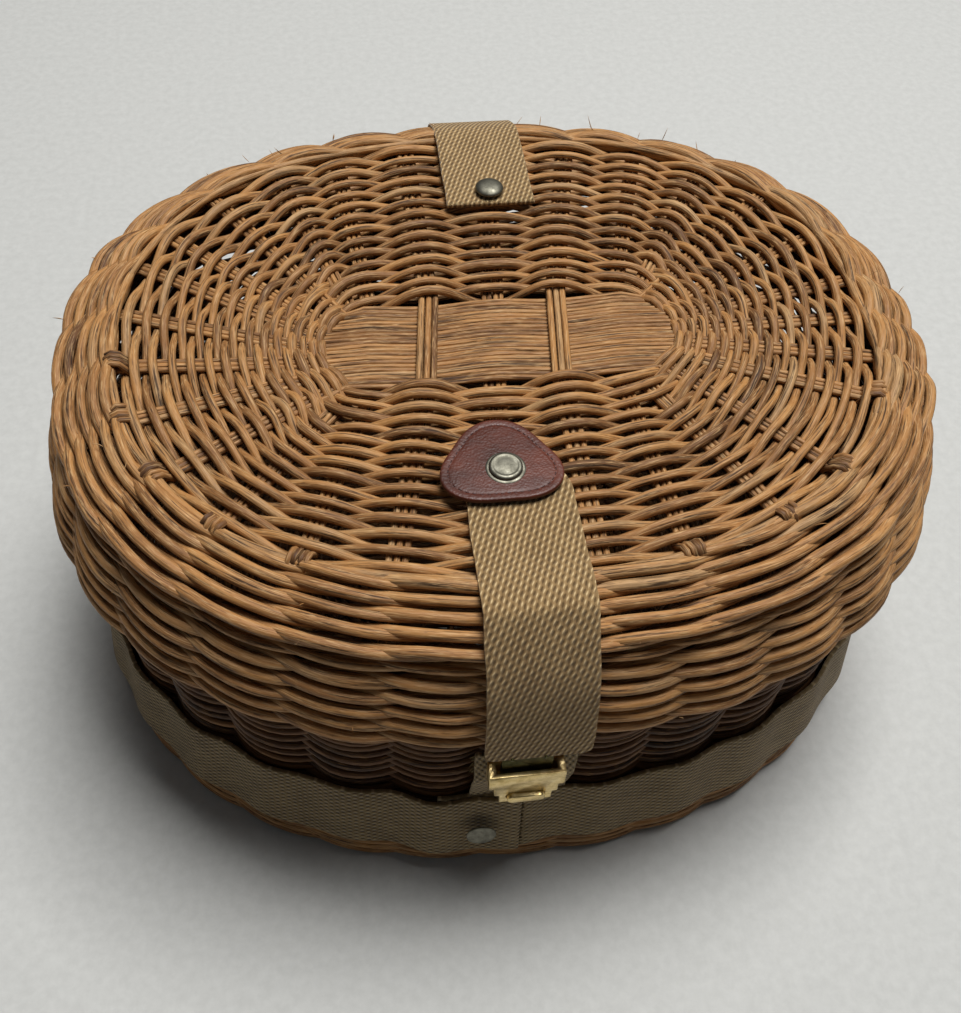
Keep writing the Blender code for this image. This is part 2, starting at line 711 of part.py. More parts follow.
def over_lid(start_reach):
    """The inner face of a strap from its start on the lid to its crease."""
    rise_start = OVAL_HALF_DEPTH - STRAP_RAMP
    return [
        (start_reach, FLAT_ON_LID),
        (rise_start, FLAT_ON_LID),
        (OVAL_HALF_DEPTH, OVER_RODS),
        (OVAL_HALF_DEPTH + STRAP_CREASE_OUT, OVER_RODS),
    ]


def outline_piece(name, outline, y_front, y_back, material, parent=None):
    """Extrude a flat (x, z) outline between two depths."""
    curve = bpy.data.curves.new(name, "CURVE")
    curve.dimensions = "2D"
    curve.fill_mode = "BOTH"
    curve.extrude = abs(y_back - y_front) / 2
    spline = curve.splines.new("POLY")
    spline.points.add(len(outline) - 1)
    for point, (x, z) in zip(spline.points, outline):
        point.co = (x, z, 0, 1)
    spline.use_cyclic_u = True
    holder = bpy.data.objects.new(name + "_outline", curve)
    holder.rotation_euler = (math.pi / 2, 0, 0)
    holder.location = (0, (y_front + y_back) / 2, 0)
    BASKET.objects.link(holder)
    bpy.context.view_layer.update()
    graph = bpy.context.evaluated_depsgraph_get()
    mesh = bpy.data.meshes.new_from_object(holder.evaluated_get(graph))
    mesh.transform(holder.matrix_world)
    bpy.data.objects.remove(holder, do_unlink=True)
    bm = bmesh.new()
    bm.from_mesh(mesh)
    bmesh.ops.remove_doubles(bm, verts=bm.verts, dist=MERGE_DISTANCE)
    return add_piece(name, mesh_from(bm, name), material, parent)


def pill_outline(x_middle, z_middle, width, height, steps=8):
    """A flat outline with round ends."""
    radius = height / 2
    half = width / 2 - radius
    outline = []
    for side, middle in ((1, x_middle + half), (-1, x_middle - half)):
        for step in range(steps + 1):
            angle = math.pi * (step / steps - 1 / 2)
            outline.append((middle + side * radius * math.cos(angle),
                            z_middle + side * radius * math.sin(angle)))
    return outline


def lock_outline():
    """The stepped outline of the lock's housing, from its top left round to the right."""
    levels = [LOCK_TOP - LOCK_HEIGHT * share for share in LOCK_STEP_SHARES]
    right = [(LOCK_STEP_WIDTHS[0] / 2, LOCK_TOP)]
    for width, level, following in zip(LOCK_STEP_WIDTHS, levels, LOCK_STEP_WIDTHS[1:]):
        right += [(width / 2, level), (following / 2, level - LOCK_LEDGE_SLOPE)]
    right.append((LOCK_STEP_WIDTHS[-1] / 2, levels[-1]))
    left = [(-x, z) for x, z in reversed(right)]
    return [(LOCK_X + x, z) for x, z in left + right]


def build_lock(button_empty):
    """The lock's tab, backplate, housing, push button and its spring."""
    tab = ribbon("lock_tab", tab_rows(), WEBBING_WORN)
    inset = BACKPLATE_INSET
    plate_back = -LOCK_BACK
    plate_front = plate_back - BACKPLATE_THICKNESS
    plate = add_piece("lock_backplate", box_mesh(
        (LOCK_X - LOCK_STEP_WIDTHS[-1] / 2 + inset, plate_front, LOCK_BOTTOM + inset),
        (LOCK_X + LOCK_STEP_WIDTHS[-1] / 2 - inset, plate_back, LOCK_TOP - inset),
        "lock_backplate"), BRASS)
    housing = outline_piece("lock_housing", lock_outline(), -LOCK_FACE,
                            plate_front - GAP, BRASS)
    slot_middle = -(STRAP_END_REACH - GAP - TONGUE_THICKNESS / 2)
    slot = box_cutter(
        "slot_cutter",
        (LOCK_X - SLOT_WIDTH / 2, slot_middle - SLOT_THICKNESS / 2, LOCK_TOP - SLOT_DEPTH),
        (LOCK_X + SLOT_WIDTH / 2, slot_middle + SLOT_THICKNESS / 2, LOCK_TOP + CUT_OVERRUN))
    cut(housing, slot, "slot")
    pocket = outline_piece(
        "pocket_cutter",
        pill_outline(LOCK_X, BUTTON_Z, BUTTON_WIDTH + 2 * BUTTON_CLEARANCE,
                     BUTTON_HEIGHT + 2 * BUTTON_CLEARANCE),
        -LOCK_FACE - CUT_OVERRUN, -POCKET_BACK, BRASS)
    hide_cutter(pocket)
    cut(housing, pocket, "pocket")
    button_front = LOCK_FACE + BUTTON_PROUD
    outline_piece("lock_button", pill_outline(LOCK_X, BUTTON_Z, BUTTON_WIDTH, BUTTON_HEIGHT),
                  -button_front, -button_front + BUTTON_LENGTH, BRASS, button_empty)
    spring_room = button_front - BUTTON_LENGTH - POCKET_BACK - 2 * GAP
    outer = SPRING_DIAMETER / 2
    inner = outer - SPRING_WALL
    turned_piece("button_spring",
                 [(inner, spring_room), (outer, spring_room), (outer, 0), (inner, 0)],
                 (LOCK_X, -POCKET_BACK - GAP, BUTTON_Z), (0, -1, 0), SPRING_STEEL, closed=True)
    return tab, plate


def strip_point(x, side):
    """Give the middle strip's outline at an x, at its front (-1) or rear (1)."""
    half_length = LID_STRIP_LENGTH_SHARE * OVAL_HALF_LENGTH
    half_depth = LID_STRIP_DEPTH_SHARE * OVAL_HALF_DEPTH
    share = (1 - abs(x / half_length) ** LID_STRIP_POWER) ** (1 / LID_STRIP_POWER)
    return Vector((x, side * half_depth * share - LID_STRIP_BACK_SHARE * OVAL_HALF_DEPTH))


def end_stakes(side, first, last):
    """Give the fanned stakes of one end, in turning order: (start, turn at the border)."""
    half_length = LID_STRIP_LENGTH_SHARE * OVAL_HALF_LENGTH
    turns = even_turns(first, last, END_STAKES, 0)
    stakes = []
    for index, turn in enumerate(turns):
        share = (2 * index / (END_STAKES - 1) - 1) * END_STAKES_SPAN_SHARE
        reach = half_length * (1 - abs(share) ** LID_STRIP_POWER) ** (1 / LID_STRIP_POWER)
        y = (side * share * LID_STRIP_DEPTH_SHARE - LID_STRIP_BACK_SHARE) * OVAL_HALF_DEPTH
        stakes.append((Vector((side * reach, y)), turn))
    return stakes


def lid_stakes(edge_out):
    """Give every stake of the lid, in turning order from the front middle."""
    half = CROSS_STAKES // 2
    places = [step * CROSS_STAKE_SHARE * OVAL_HALF_LENGTH for step in range(-half, half + 1)]
    front = [(strip_point(x, -1), turn_at_x(x * CROSS_STAKE_FAN, edge_out)) for x in places]
    rear = [(strip_point(x, 1), math.tau + turn_at_x(x * CROSS_STAKE_FAN, edge_out, False))
            for x in reversed(places)]
    later = [(start, turn + math.tau) for start, turn in front]
    stakes = front[half:] + end_stakes(1, front[-1][1], rear[0][1]) + rear
    return stakes + end_stakes(-1, rear[-1][1], later[0][1]) + later[:half]


def woven_lid_rows(edge_out):
    """Give the rows of the lid's weave, from the border in to the middle strip."""
    stakes = lid_stakes(edge_out)
    rows = []
    for step in range(LID_WEAVE_ROWS):
        share = 1 - step / (LID_WEAVE_ROWS - 1)
        plan = [start.lerp(Vector(plan_point(edge_out, turn)), share) for start, turn in stakes]
        row = []
        for stake, place in enumerate(plan):
            in_front = (step + stake) % 2 == 0
            gap = (plan[(stake + 1) % len(plan)] - place).length
            depth = LID_WEAVE_DEPTH * min(1, max(LEAST_WEAVE_SHARE, gap / WIDE_STAKE_SPACING))
            height = LID_TOP if in_front else LID_TOP - depth
            row.append((Vector((*place, height)), in_front))
        rows.append(row)
    return rows


def build_lid(lid_empty):
    """The woven lid, one panel with a sloping border, and the border's rods."""
    slopes = [
        (high - low) / (far - near)
        for (near, high), (far, low) in zip(LID_RODS, LID_RODS[1:])
    ]
    steepest = math.hypot(1, max(slopes))
    below = (LID_ROD_DIAMETER / 2 + GAP) * steepest
    edge_out = LID_RODS[-1][0] - LID_ROD_DIAMETER / 2 - GAP
    inner_out = -(LID_ROD_DIAMETER / 2 + GAP)
    border = [(out, height - below) for out, height in LID_RODS[:-1]]
    last_out, last_height = border[-1]
    edge_height = last_height - (edge_out - last_out) * slopes[-1]
    seat_out = edge_out - LID_SEAT_WIDTH
    under_out = inner_out - LID_SKIRT_THICKNESS / 2
    profile = [(inner_out, LID_TOP), (inner_out, border[0][1])] + border
    profile += [(edge_out, edge_height), (edge_out, SEAT_HEIGHT), (seat_out, SEAT_HEIGHT)]
    profile += [(under_out, LID_UNDERSIDE)]
    bm = bmesh.new()
    rim_edges, under_edges = oval_surface(bm, profile)
    rows = woven_lid_rows(inner_out - LID_WEAVE_MARGIN)
    outer_edges, strip_edges, strip_ring = woven_surface(bm, rows)
    bmesh.ops.bridge_loops(bm, edges=rim_edges + outer_edges)
    low_strip = [Vector((*vert.co.xy, LID_TOP - LID_STRIP_DROP)) for vert in strip_ring]
    grow_ring(bm, strip_edges, strip_ring, low_strip)
    bmesh.ops.holes_fill(bm, edges=bm.edges, sides=RING_STEPS)
    panel = add_piece("lid_panel", mesh_from(bm, "lid_panel"), WILLOW, lid_empty)
    for row, (out, height) in enumerate(LID_RODS, start=1):
        oval_rod(f"lid_rod_{row}", out, height, LID_ROD_DIAMETER, WILLOW, lid_empty)
    return panel


def build_hinge_strap(lid_empty):
    """The rear webbing that is riveted to the lid and to the belt, and acts as hinge."""
    belt_top_face = OVAL_HALF_DEPTH + BELT_TOP_OUT + 2 * GAP + WEBBING_THICKNESS
    low_out = line_value(WALL_ROWS, HINGE_STRAP_END_HEIGHT)
    belt_low_face = OVAL_HALF_DEPTH + low_out + 2 * GAP + WEBBING_THICKNESS
    path = over_lid(HINGE_RIVET_REACH - HINGE_STRAP_PAST_RIVET)
    path += [
        (STRAP_FOLD_REACH, FOLD_HEIGHT), KNEE,
        (STRAP_END_REACH, HINGE_STRAP_CLEAR_HEIGHT),
        (belt_top_face, BELT_TOP),
        (belt_low_face, HINGE_STRAP_END_HEIGHT),
    ]
    return ribbon("hinge_strap", strap_rows(path, HINGE_STRAP_X, False), WEBBING, lid_empty)


def build_front_strap(lid_empty, strap_empty):
    """The front strap in two lengths that meet at its fold below the lid's border."""
    top_path = over_lid(PATCH_RIVET_REACH - FRONT_STRAP_PAST_RIVET)
    crease = Vector(top_path[-1])
    fold = Vector((STRAP_FOLD_REACH, FOLD_HEIGHT))
    slope = (fold - crease).normalized()
    top_path.append(tuple(fold - slope * GAP))
    top = ribbon("strap_top", strap_rows(top_path, FRONT_STRAP_X, True), WEBBING, lid_empty)
    flap_path = [tuple(fold + slope * GAP), KNEE, (STRAP_END_REACH, FRONT_STRAP_END_HEIGHT)]
    flap = ribbon("strap_flap", strap_rows(flap_path, FRONT_STRAP_X, True), WEBBING, strap_empty)
    return top, flap


def build_tongue(strap_empty, flap):
    """The brass tongue at the strap's end, with two prongs clinched in the webbing."""
    knee_reach, knee_height = KNEE
    drop_share = (knee_height - TONGUE_TOP) / (knee_height - FRONT_STRAP_END_HEIGHT)
    reach_at_top = knee_reach + (STRAP_END_REACH - knee_reach) * drop_share
    outer_face = -(reach_at_top - GAP)
    tongue = add_piece("lock_tongue", box_mesh(
        (LOCK_X - TONGUE_WIDTH / 2, outer_face, TONGUE_BOTTOM),
        (LOCK_X + TONGUE_WIDTH / 2, outer_face + TONGUE_THICKNESS, TONGUE_TOP),
        "lock_tongue"), BRASS, strap_empty)
    prong_height = (TONGUE_TOP + FRONT_STRAP_END_HEIGHT) / 2
    for side in (-1, 1):
        x = LOCK_X + side * TONGUE_PRONG_SPACING / 2
        start = (x, outer_face + TONGUE_THICKNESS / 2, prong_height)
        end = (x, outer_face - TONGUE_PRONG_LENGTH, prong_height)
        prong = round_cutter(f"tongue_prong_{side}", start, end, TONGUE_PRONG_DIAMETER)
        join = tongue.modifiers.new("prong", "BOOLEAN")
        join.operation = "UNION"
        join.object = prong
        join.solver = "EXACT"
        hole_end = (x, outer_face - TONGUE_PRONG_LENGTH - GAP, prong_height)
        hole = round_cutter(f"prong_hole_{side}", start, hole_end,
                            TONGUE_PRONG_DIAMETER + 2 * GAP)
        cut(flap, hole, "prong_hole")


def patch_outline():
    """A rounded triangle with one corner towards the lid's middle."""
    outline = []
    for step in range(PATCH_STEPS):
        angle = math.tau * step / PATCH_STEPS
        reach = 1 + PATCH_CORNER_SHARE * math.cos(3 * (angle - math.pi / 2))
        x = PATCH_X + PATCH_WIDTH / 2 * reach * math.cos(angle)
        y = -PATCH_REACH + PATCH_LENGTH / 2 * reach * math.sin(angle)
        outline.append((x, y))
    return outline


def build_patch(lid_empty):
    """The leather patch that covers the front strap's upper end."""
    low = FLAT_ON_LID + WEBBING_THICKNESS + GAP
    bm = bmesh.new()
    bmesh.ops.create_circle(bm, cap_ends=True, segments=PATCH_STEPS, radius=PATCH_WIDTH)
    bm.verts.ensure_lookup_table()
    for vert, (x, y) in zip(list(bm.verts), patch_outline()):
        vert.co = (x, y, low)
    top = bmesh.ops.extrude_face_region(bm, geom=list(bm.faces))["geom"]
    raised = [item for item in top if isinstance(item, bmesh.types.BMVert)]
    bmesh.ops.translate(bm, verts=raised, vec=(0, 0, PATCH_THICKNESS))
    return add_piece("leather_patch", mesh_from(bm, "leather_patch"), LEATHER, lid_empty)


def rivet_hole(name, pieces, start, end):
    """Drill one rivet hole through several pieces."""
    hole = round_cutter(name, start, end, RIVET_SHANK_DIAMETER + 2 * GAP)
    for piece in pieces:
        cut(piece, hole, name)


def upright_rivet(label, x, y, top, ring, pieces, parent):
    """Rivet down through the lid, with a burr on its underside."""
    up = (0, 0, 1)
    down = (0, 0, -1)
    cap_seat = top
    if ring:
        washer(f"{label}_ring", (x, y, top), up, PATCH_RING_DIAMETER,
               PATCH_RING_THICKNESS, NICKEL, parent)
        cap_seat = top + GAP + PATCH_RING_THICKNESS
    grip = cap_seat - LID_UNDERSIDE + RIVET_TAIL + BURR_THICKNESS
    rivet(label, (x, y, cap_seat), up, grip, parent)
    washer(f"{label}_burr", (x, y, LID_UNDERSIDE), down, BURR_DIAMETER, BURR_THICKNESS,
           NICKEL, parent)
    rivet_hole(f"{label}_hole", pieces, (x, y, LID_UNDERSIDE - CUT_OVERRUN),
               (x, y, top + CUT_OVERRUN))


def wall_rivet(label, x, height, front, layers, pieces):
    """Rivet square through the wall and the webbing on it, with a burr inside."""
    out = line_value(WALL_ROWS, height)
    turn = turn_at_x(x, out, front)
    wall_x, wall_y = plan_point(out, turn)
    lean = math.atan2(BELT_LEAN, BELT_TOP - BELT_BOTTOM)
    sign = -1 if front else 1
    direction = Vector((0, sign * math.cos(lean), math.sin(lean)))
    face = Vector((wall_x, wall_y, height))
    lay = layers * (GAP + WEBBING_THICKNESS) + GAP
    seat = face + direction * lay
    inner_face = face - direction * (WALL_THICKNESS + GAP)
    grip = lay + WALL_THICKNESS + RIVET_TAIL + BURR_THICKNESS + GAP
    rivet(label, seat, direction, grip)
    washer(f"{label}_burr", inner_face, -direction, BURR_DIAMETER, BURR_THICKNESS, NICKEL)
    rivet_hole(f"{label}_hole", pieces, inner_face - direction * CUT_OVERRUN,
               seat + direction * CUT_OVERRUN)


def build_basket():
    """Put the whole basket together."""
    axis_reach = STRAP_FOLD_REACH + WEBBING_THICKNESS / 2
    lid_empty = joint_empty("lid_hinge_axis", (HINGE_STRAP_X, axis_reach, FOLD_HEIGHT))
    strap_empty = joint_empty("strap_swing_axis", (FRONT_STRAP_X, -STRAP_FOLD_REACH, FOLD_HEIGHT))
    button_empty = joint_empty("lock_button_axis", (LOCK_X, -LOCK_FACE, BUTTON_Z))

    build_base()
    wall = build_wall()
    build_rim()
    belt = build_belt()
    tab, plate = build_lock(button_empty)
    panel = build_lid(lid_empty)
    hinge_strap = build_hinge_strap(lid_empty)
    strap_top, flap = build_front_strap(lid_empty, strap_empty)
    build_tongue(strap_empty, flap)
    patch = build_patch(lid_empty)

    strap_face = FLAT_ON_LID + WEBBING_THICKNESS
    patch_face = strap_face + GAP + PATCH_THICKNESS
    upright_rivet("patch_rivet", PATCH_RIVET_X, -PATCH_RIVET_REACH, patch_face, True,
                  (patch, strap_top, panel), lid_empty)
    upright_rivet("hinge_rivet", HINGE_STRAP_X, HINGE_RIVET_REACH, strap_face, False,
                  (hinge_strap, panel), lid_empty)
    belt_middle = (BELT_BOTTOM + BELT_TOP) / 2
    wall_rivet("belt_rivet", BELT_RIVET_X, belt_middle, True, 3, (belt, tab, wall))
    wall_rivet("hinge_lower_rivet", HINGE_STRAP_X, HINGE_LOWER_RIVET_HEIGHT, False, 2,
               (belt, hinge_strap, wall))

    for side in (-1, 1):
        x = LOCK_X + side * PRONG_SPACING / 2
        height = LOCK_TOP - LOCK_HEIGHT / 2
        start = (x, -LOCK_BACK - BACKPLATE_THICKNESS / 2, height)
        end = (x, -LOCK_BACK + PRONG_LENGTH, height)
        prong = round_cutter(f"plate_prong_{side}", start, end, PRONG_DIAMETER)
        join = plate.modifiers.new("prong", "BOOLEAN")
        join.operation = "UNION"
        join.object = prong
        join.solver = "EXACT"
        hole = round_cutter(f"tab_hole_{side}", (x, -LOCK_BACK - CUT_OVERRUN, height),
                            (x, -LOCK_BACK + PRONG_LENGTH + CUT_OVERRUN, height),
                            PRONG_DIAMETER + 2 * GAP)
        cut(tab, hole, "prong_hole")


build_basket()
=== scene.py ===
# %% [markdown]
# # A lidded willow basket, dressed for its photograph
#
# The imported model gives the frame: closed shells and rings that carry the sizes, the bodies and
# the joints. This script puts the real surfaces over them. Every rod of the basket is woven
# as its own tube, because the dark gaps between the rods are what the eye reads as wicker, and a
# picture of a weave on a smooth shell would lose them from the side.

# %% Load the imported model
import math

import bpy
import numpy as np
from mathutils import Matrix, Vector


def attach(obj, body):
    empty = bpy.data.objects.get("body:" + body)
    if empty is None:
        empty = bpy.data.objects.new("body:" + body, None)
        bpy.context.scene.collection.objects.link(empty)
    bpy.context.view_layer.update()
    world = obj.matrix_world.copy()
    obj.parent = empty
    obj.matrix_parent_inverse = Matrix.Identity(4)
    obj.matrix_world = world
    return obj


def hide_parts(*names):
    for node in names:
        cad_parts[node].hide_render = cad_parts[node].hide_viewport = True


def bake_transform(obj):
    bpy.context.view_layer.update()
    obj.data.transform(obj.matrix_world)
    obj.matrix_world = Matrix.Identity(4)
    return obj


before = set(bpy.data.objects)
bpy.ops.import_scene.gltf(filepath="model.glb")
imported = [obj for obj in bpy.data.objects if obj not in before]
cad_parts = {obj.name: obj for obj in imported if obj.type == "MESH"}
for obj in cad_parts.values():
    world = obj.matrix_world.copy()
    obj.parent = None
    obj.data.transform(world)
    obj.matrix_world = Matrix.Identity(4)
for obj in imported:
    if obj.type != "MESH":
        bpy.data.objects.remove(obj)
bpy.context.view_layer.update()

MM = 0.001
chance = np.random.default_rng(20)

# %% [markdown]
# ## Camera
#
# The photograph was taken from above the front edge, looking about 54 degrees down, with the
# camera turned a little. Its place, turn and lens come from a fit to the outline of the lid, the
# rim rows, the belt and the foot, so the render and the photograph can be laid together.

# %% Camera
PHOTO_HEIGHT = 1013
FOCAL_IN_PIXELS = 1152.7
MIDDLE_ROW = 539.17
CAMERA_PLACE = (-59.6, -332.2, 484.0)
CAMERA_RIGHT = Vector((0.99173321, -0.1234331, 0.03506435))
CAMERA_UP = Vector((0.07940352, 0.80499478, 0.58794429))
SENSOR = 36.0

lens_data = bpy.data.cameras.new("photo_camera")
lens_data.sensor_width = SENSOR
lens_data.lens = FOCAL_IN_PIXELS * SENSOR / PHOTO_HEIGHT
lens_data.shift_y = (MIDDLE_ROW - PHOTO_HEIGHT / 2) / PHOTO_HEIGHT
lens_data.clip_start = 0.01
camera = bpy.data.objects.new("photo_camera", lens_data)
bpy.context.scene.collection.objects.link(camera)
camera_back = CAMERA_RIGHT.cross(CAMERA_UP).normalized()
camera_up = camera_back.cross(CAMERA_RIGHT).normalized()
turn_matrix = Matrix((CAMERA_RIGHT.normalized(), camera_up, camera_back)).transposed()
camera.matrix_world = Matrix.Translation(Vector(CAMERA_PLACE) * MM) @ turn_matrix.to_4x4()
bpy.context.scene.camera = camera
print("lens", round(lens_data.lens, 2), "mm, shift", round(lens_data.shift_y, 4))

# %% [markdown]
# ## Small helpers for materials
#
# Colours are written as the hex values that a colour picker shows, and Blender's shaders work in
# linear light, so one function turns the first into the second. A second function adds one node,
# sets its values and links its inputs, which keeps each material short enough to read.


# %% Colour and node helpers
def linear(hex_colour):
    """An sRGB hex colour as the linear RGBA that shader sockets take."""
    parts = [int(hex_colour[i:i + 2], 16) / 255 for i in (1, 3, 5)]
    return [p / 12.92 if p <= 0.04045 else ((p + 0.055) / 1.055) ** 2.4 for p in parts] + [1.0]


def add(tree, kind, links=(), **values):
    """One node: values set properties or inputs by name, links are (input, output socket)."""
    made = tree.nodes.new(kind)
    for name, value in values.items():
        if hasattr(made, name):
            setattr(made, name, value)
        else:
            made.inputs[name.replace("_", " ")].default_value = value
    for target, source in links:
        tree.links.new(source, made.inputs[target])
    return made


def ramp(tree, source, stops):
    """A colour ramp over source, with stops of (place, hex colour)."""
    made = add(tree, "ShaderNodeValToRGB", links=[("Fac", source)])
    band = made.color_ramp
    while len(band.elements) < len(stops):
        band.elements.new(0.5)
    for element, (place, colour) in zip(band.elements, stops):
        element.position = place
        element.color = linear(colour)
    return made.outputs["Color"]


def calculate(tree, how, first, second=None, third=None):
    """One Math node; each value is a number or an output socket."""
    made = add(tree, "ShaderNodeMath", operation=how)
    for place, value in enumerate((first, second, third)):
        if value is None:
            continue
        if isinstance(value, (int, float)):
            made.inputs[place].default_value = value
        else:
            tree.links.new(value, made.inputs[place])
    return made.outputs[0]


def between(tree, source, low, high, at_low, at_high):
    """source read from low..high to at_low..at_high, and held outside that."""
    return add(tree, "ShaderNodeMapRange", links=[("Value", source)], From_Min=low, From_Max=high,
               To_Min=at_low, To_Max=at_high).outputs[0]


def noise(tree, place, scale, detail=3.0, roughness=0.6):
    """Noise at a place in mm; scale is the size in mm of its features on each axis."""
    sized = add(tree, "ShaderNodeMapping", links=[("Vector", place)], Scale=[1 / s for s in scale])
    return add(tree, "ShaderNodeTexNoise", links=[("Vector", sized.outputs[0])], Scale=1.0,
               Detail=detail, Roughness=roughness).outputs["Fac"]


def blend_colours(tree, amount, first, second):
    """first where amount is 0 and second where it is 1; each is a socket or a hex colour."""
    made = add(tree, "ShaderNodeMix", data_type="RGBA", links=[("Factor", amount)])
    for place, value in ((6, first), (7, second)):
        if isinstance(value, str):
            made.inputs[place].default_value = linear(value)
        else:
            tree.links.new(value, made.inputs[place])
    return made.outputs[2]


def new_material(name, roughness=0.5, metallic=0.0):
    """A node material with its Principled shader: (material, node tree, shader)."""
    made = bpy.data.materials.new(name)
    made.use_nodes = True
    tree = made.node_tree
    shader = tree.nodes["Principled BSDF"]
    shader.inputs["Roughness"].default_value = roughness
    shader.inputs["Metallic"].default_value = metallic
    return made, tree, shader


def bump(tree, shader, height, distance, strength):
    """Links height to the shader's normal; distance is its real depth in mm."""
    made = add(tree, "ShaderNodeBump", links=[("Height", height)], Strength=strength,
               Distance=distance * MM)
    tree.links.new(made.outputs[0], shader.inputs["Normal"])


def place_in_mm(tree):
    """Object coordinates in millimetres, which on these pieces are places on the whole basket."""
    place = add(tree, "ShaderNodeTexCoord").outputs["Object"]
    return add(tree, "ShaderNodeMapping", links=[("Vector", place)],
               Scale=(1000, 1000, 1000)).outputs[0]


# %% [markdown]
# ## Willow
#
# The rods are willow, stained brown and worn. Four things show that at this distance: each rod
# has its own tone, from umber to honey; flutes and splits run along it, dark where the stain
# sat in them; fine pale scratches follow the same way; and the rounded tops have a thin shine. The
# tone and the lengthwise coordinate are stored on the mesh while the rods are made, because only
# the maker of a rod knows which way it runs.


# %% Willow material
def willow(name, stops, light_streak, dark_streak):
    """Stained willow: one tone for each rod, flutes and streaks along it, and a satin skin."""
    made, tree, shader = new_material(name)
    tone = add(tree, "ShaderNodeAttribute", attribute_name="tone").outputs["Fac"]
    grain = add(tree, "ShaderNodeAttribute", attribute_name="grain").outputs["Vector"]
    # The grain attribute is in millimetres: along the rod, then two across it.
    flutes = noise(tree, grain, (24.0, 0.95, 0.95), 3.0)
    hairs = noise(tree, grain, (6.0, 0.4, 0.4), 2.0)
    blotches = noise(tree, grain, (26.0, 9.0, 9.0), 3.0)
    shifted = calculate(tree, "MULTIPLY_ADD", blotches, 0.8, -0.4)
    base = ramp(tree, calculate(tree, "ADD", tone, shifted), stops)
    sunk = blend_colours(tree, between(tree, flutes, 0.5, 0.34, 0.0, 0.9), base, dark_streak)
    split = blend_colours(tree, between(tree, hairs, 0.38, 0.28, 0.0, 0.75), sunk, dark_streak)
    worn = blend_colours(tree, between(tree, hairs, 0.52, 0.7, 0.0, 0.7), split, light_streak)
    tree.links.new(worn, shader.inputs["Base Color"])
    tree.links.new(between(tree, flutes, 0.3, 0.65, 0.74, 0.52), shader.inputs["Roughness"])
    shader.inputs["Specular IOR Level"].default_value = 0.36
    bump(tree, shader, calculate(tree, "MULTIPLY_ADD", hairs, 0.45, flutes), 0.5, 0.75)
    return made


ROD_TONES = [(0.0, "#5c3b20"), (0.22, "#825931"), (0.45, "#9d6e3f"), (0.62, "#b07e48"),
             (0.8, "#a07a50"), (1.0, "#c09766")]
# SHADE_TONES and its streak colours make a darker copy of the willow: painted shade for the wall and
# base.
SHADE_TONES = [(0.0, "#34200f"), (0.3, "#523216"), (0.6, "#6b4421"), (1.0, "#875b2e")]
stained_willow = willow("stained_willow_rods", ROD_TONES, "#d0aa78", "#2c1a0c")
shade_darkened_willow = willow("shade_darkened_willow_rods", SHADE_TONES, "#9a6f3b", "#160c05")
print("materials", stained_willow.name, shade_darkened_willow.name)

# %% [markdown]
# ## Rods
#
# Every rod is a curve with a round bevel, turned into a mesh. A curve's bevel gives each point a
# ring of vertices in a fixed order, so the tone and the lengthwise grain can be written by
# counting rings. A woven row on a real basket is not endless: it is two or more rods, each
# thicker at its butt and thinner at its tip, with the ends tucked behind a stake. The rows here
# are cut the same way, which also keeps two neighbours from looking like one machine-made ring.

# %% Making rods
BEVEL_STEPS = {6: 1, 8: 2, 10: 3}
TIP_TAPER = (0.02, 0.55, 0.85, 0.97)


def only(*objects):
    """Deselects everything, then selects these, the last one active."""
    for each in bpy.context.selected_objects:
        each.select_set(False)
    for each in objects:
        each.select_set(True)
        bpy.context.view_layer.objects.active = each


def in_edit_mode(piece, *steps):
    """Runs edit mode operators, given as functions, on the whole of one piece."""
    only(piece)
    bpy.ops.object.mode_set(mode="EDIT")
    bpy.ops.mesh.select_all(action="SELECT")
    for step in steps:
        step()
    bpy.ops.object.mode_set(mode="OBJECT")


def cover(mesh, material):
    """Gives a mesh that material and no other."""
    mesh.materials.clear()
    mesh.materials.append(material)


def lengths_along(points):
    """The length of a line of points up to each of them."""
    return np.concatenate([[0], np.cumsum(np.linalg.norm(np.diff(points, axis=0), axis=1))])


def make_rods(name, rods, material, sides=8):
    """rods is a list of (points in mm, radii in mm, tone); returns one mesh object."""
    curve = bpy.data.curves.new(name, "CURVE")
    curve.dimensions = "3D"
    curve.bevel_depth = 1.0
    curve.bevel_resolution = BEVEL_STEPS[sides]
    tones = []
    grains = []
    around = np.arange(sides) * 2 * math.pi / sides
    for points, radii, tone in rods:
        count = len(points)
        spline = curve.splines.new("POLY")
        spline.points.add(count - 1)
        rows = np.ones((count, 4), np.float32)
        rows[:, :3] = points * MM
        spline.points.foreach_set("co", rows.ravel())
        spline.points.foreach_set("radius", (radii * MM).astype(np.float32))
        along = np.repeat(lengths_along(points) + chance.uniform(0, 4000), sides)
        thick = float(np.max(radii))
        across = np.tile(np.stack([thick * np.cos(around), thick * np.sin(around)], 1), (count, 1))
        grains.append(np.column_stack([along, across + chance.uniform(0, 300)]))
        tones.append(np.full(count * sides, tone))
    piece = bpy.data.objects.new(name, curve)
    bpy.context.scene.collection.objects.link(piece)
    only(piece)
    bpy.ops.object.convert(target="MESH")
    piece = bpy.context.object
    mesh = piece.data
    mesh.name = name
    tone_layer = mesh.attributes.new("tone", "FLOAT", "POINT")
    tone_layer.data.foreach_set("value", np.concatenate(tones).astype(np.float32))
    grain_layer = mesh.attributes.new("grain", "FLOAT_VECTOR", "POINT")
    grain_layer.data.foreach_set("vector", np.concatenate(grains).astype(np.float32).ravel())
    in_edit_mode(piece, lambda: bpy.ops.mesh.remove_doubles(threshold=0.00006))
    only(piece)
    bpy.ops.object.shade_smooth()
    cover(mesh, material)
    print(name, len(rods), "rods,", 2 * len(mesh.polygons), "triangles")
    return piece


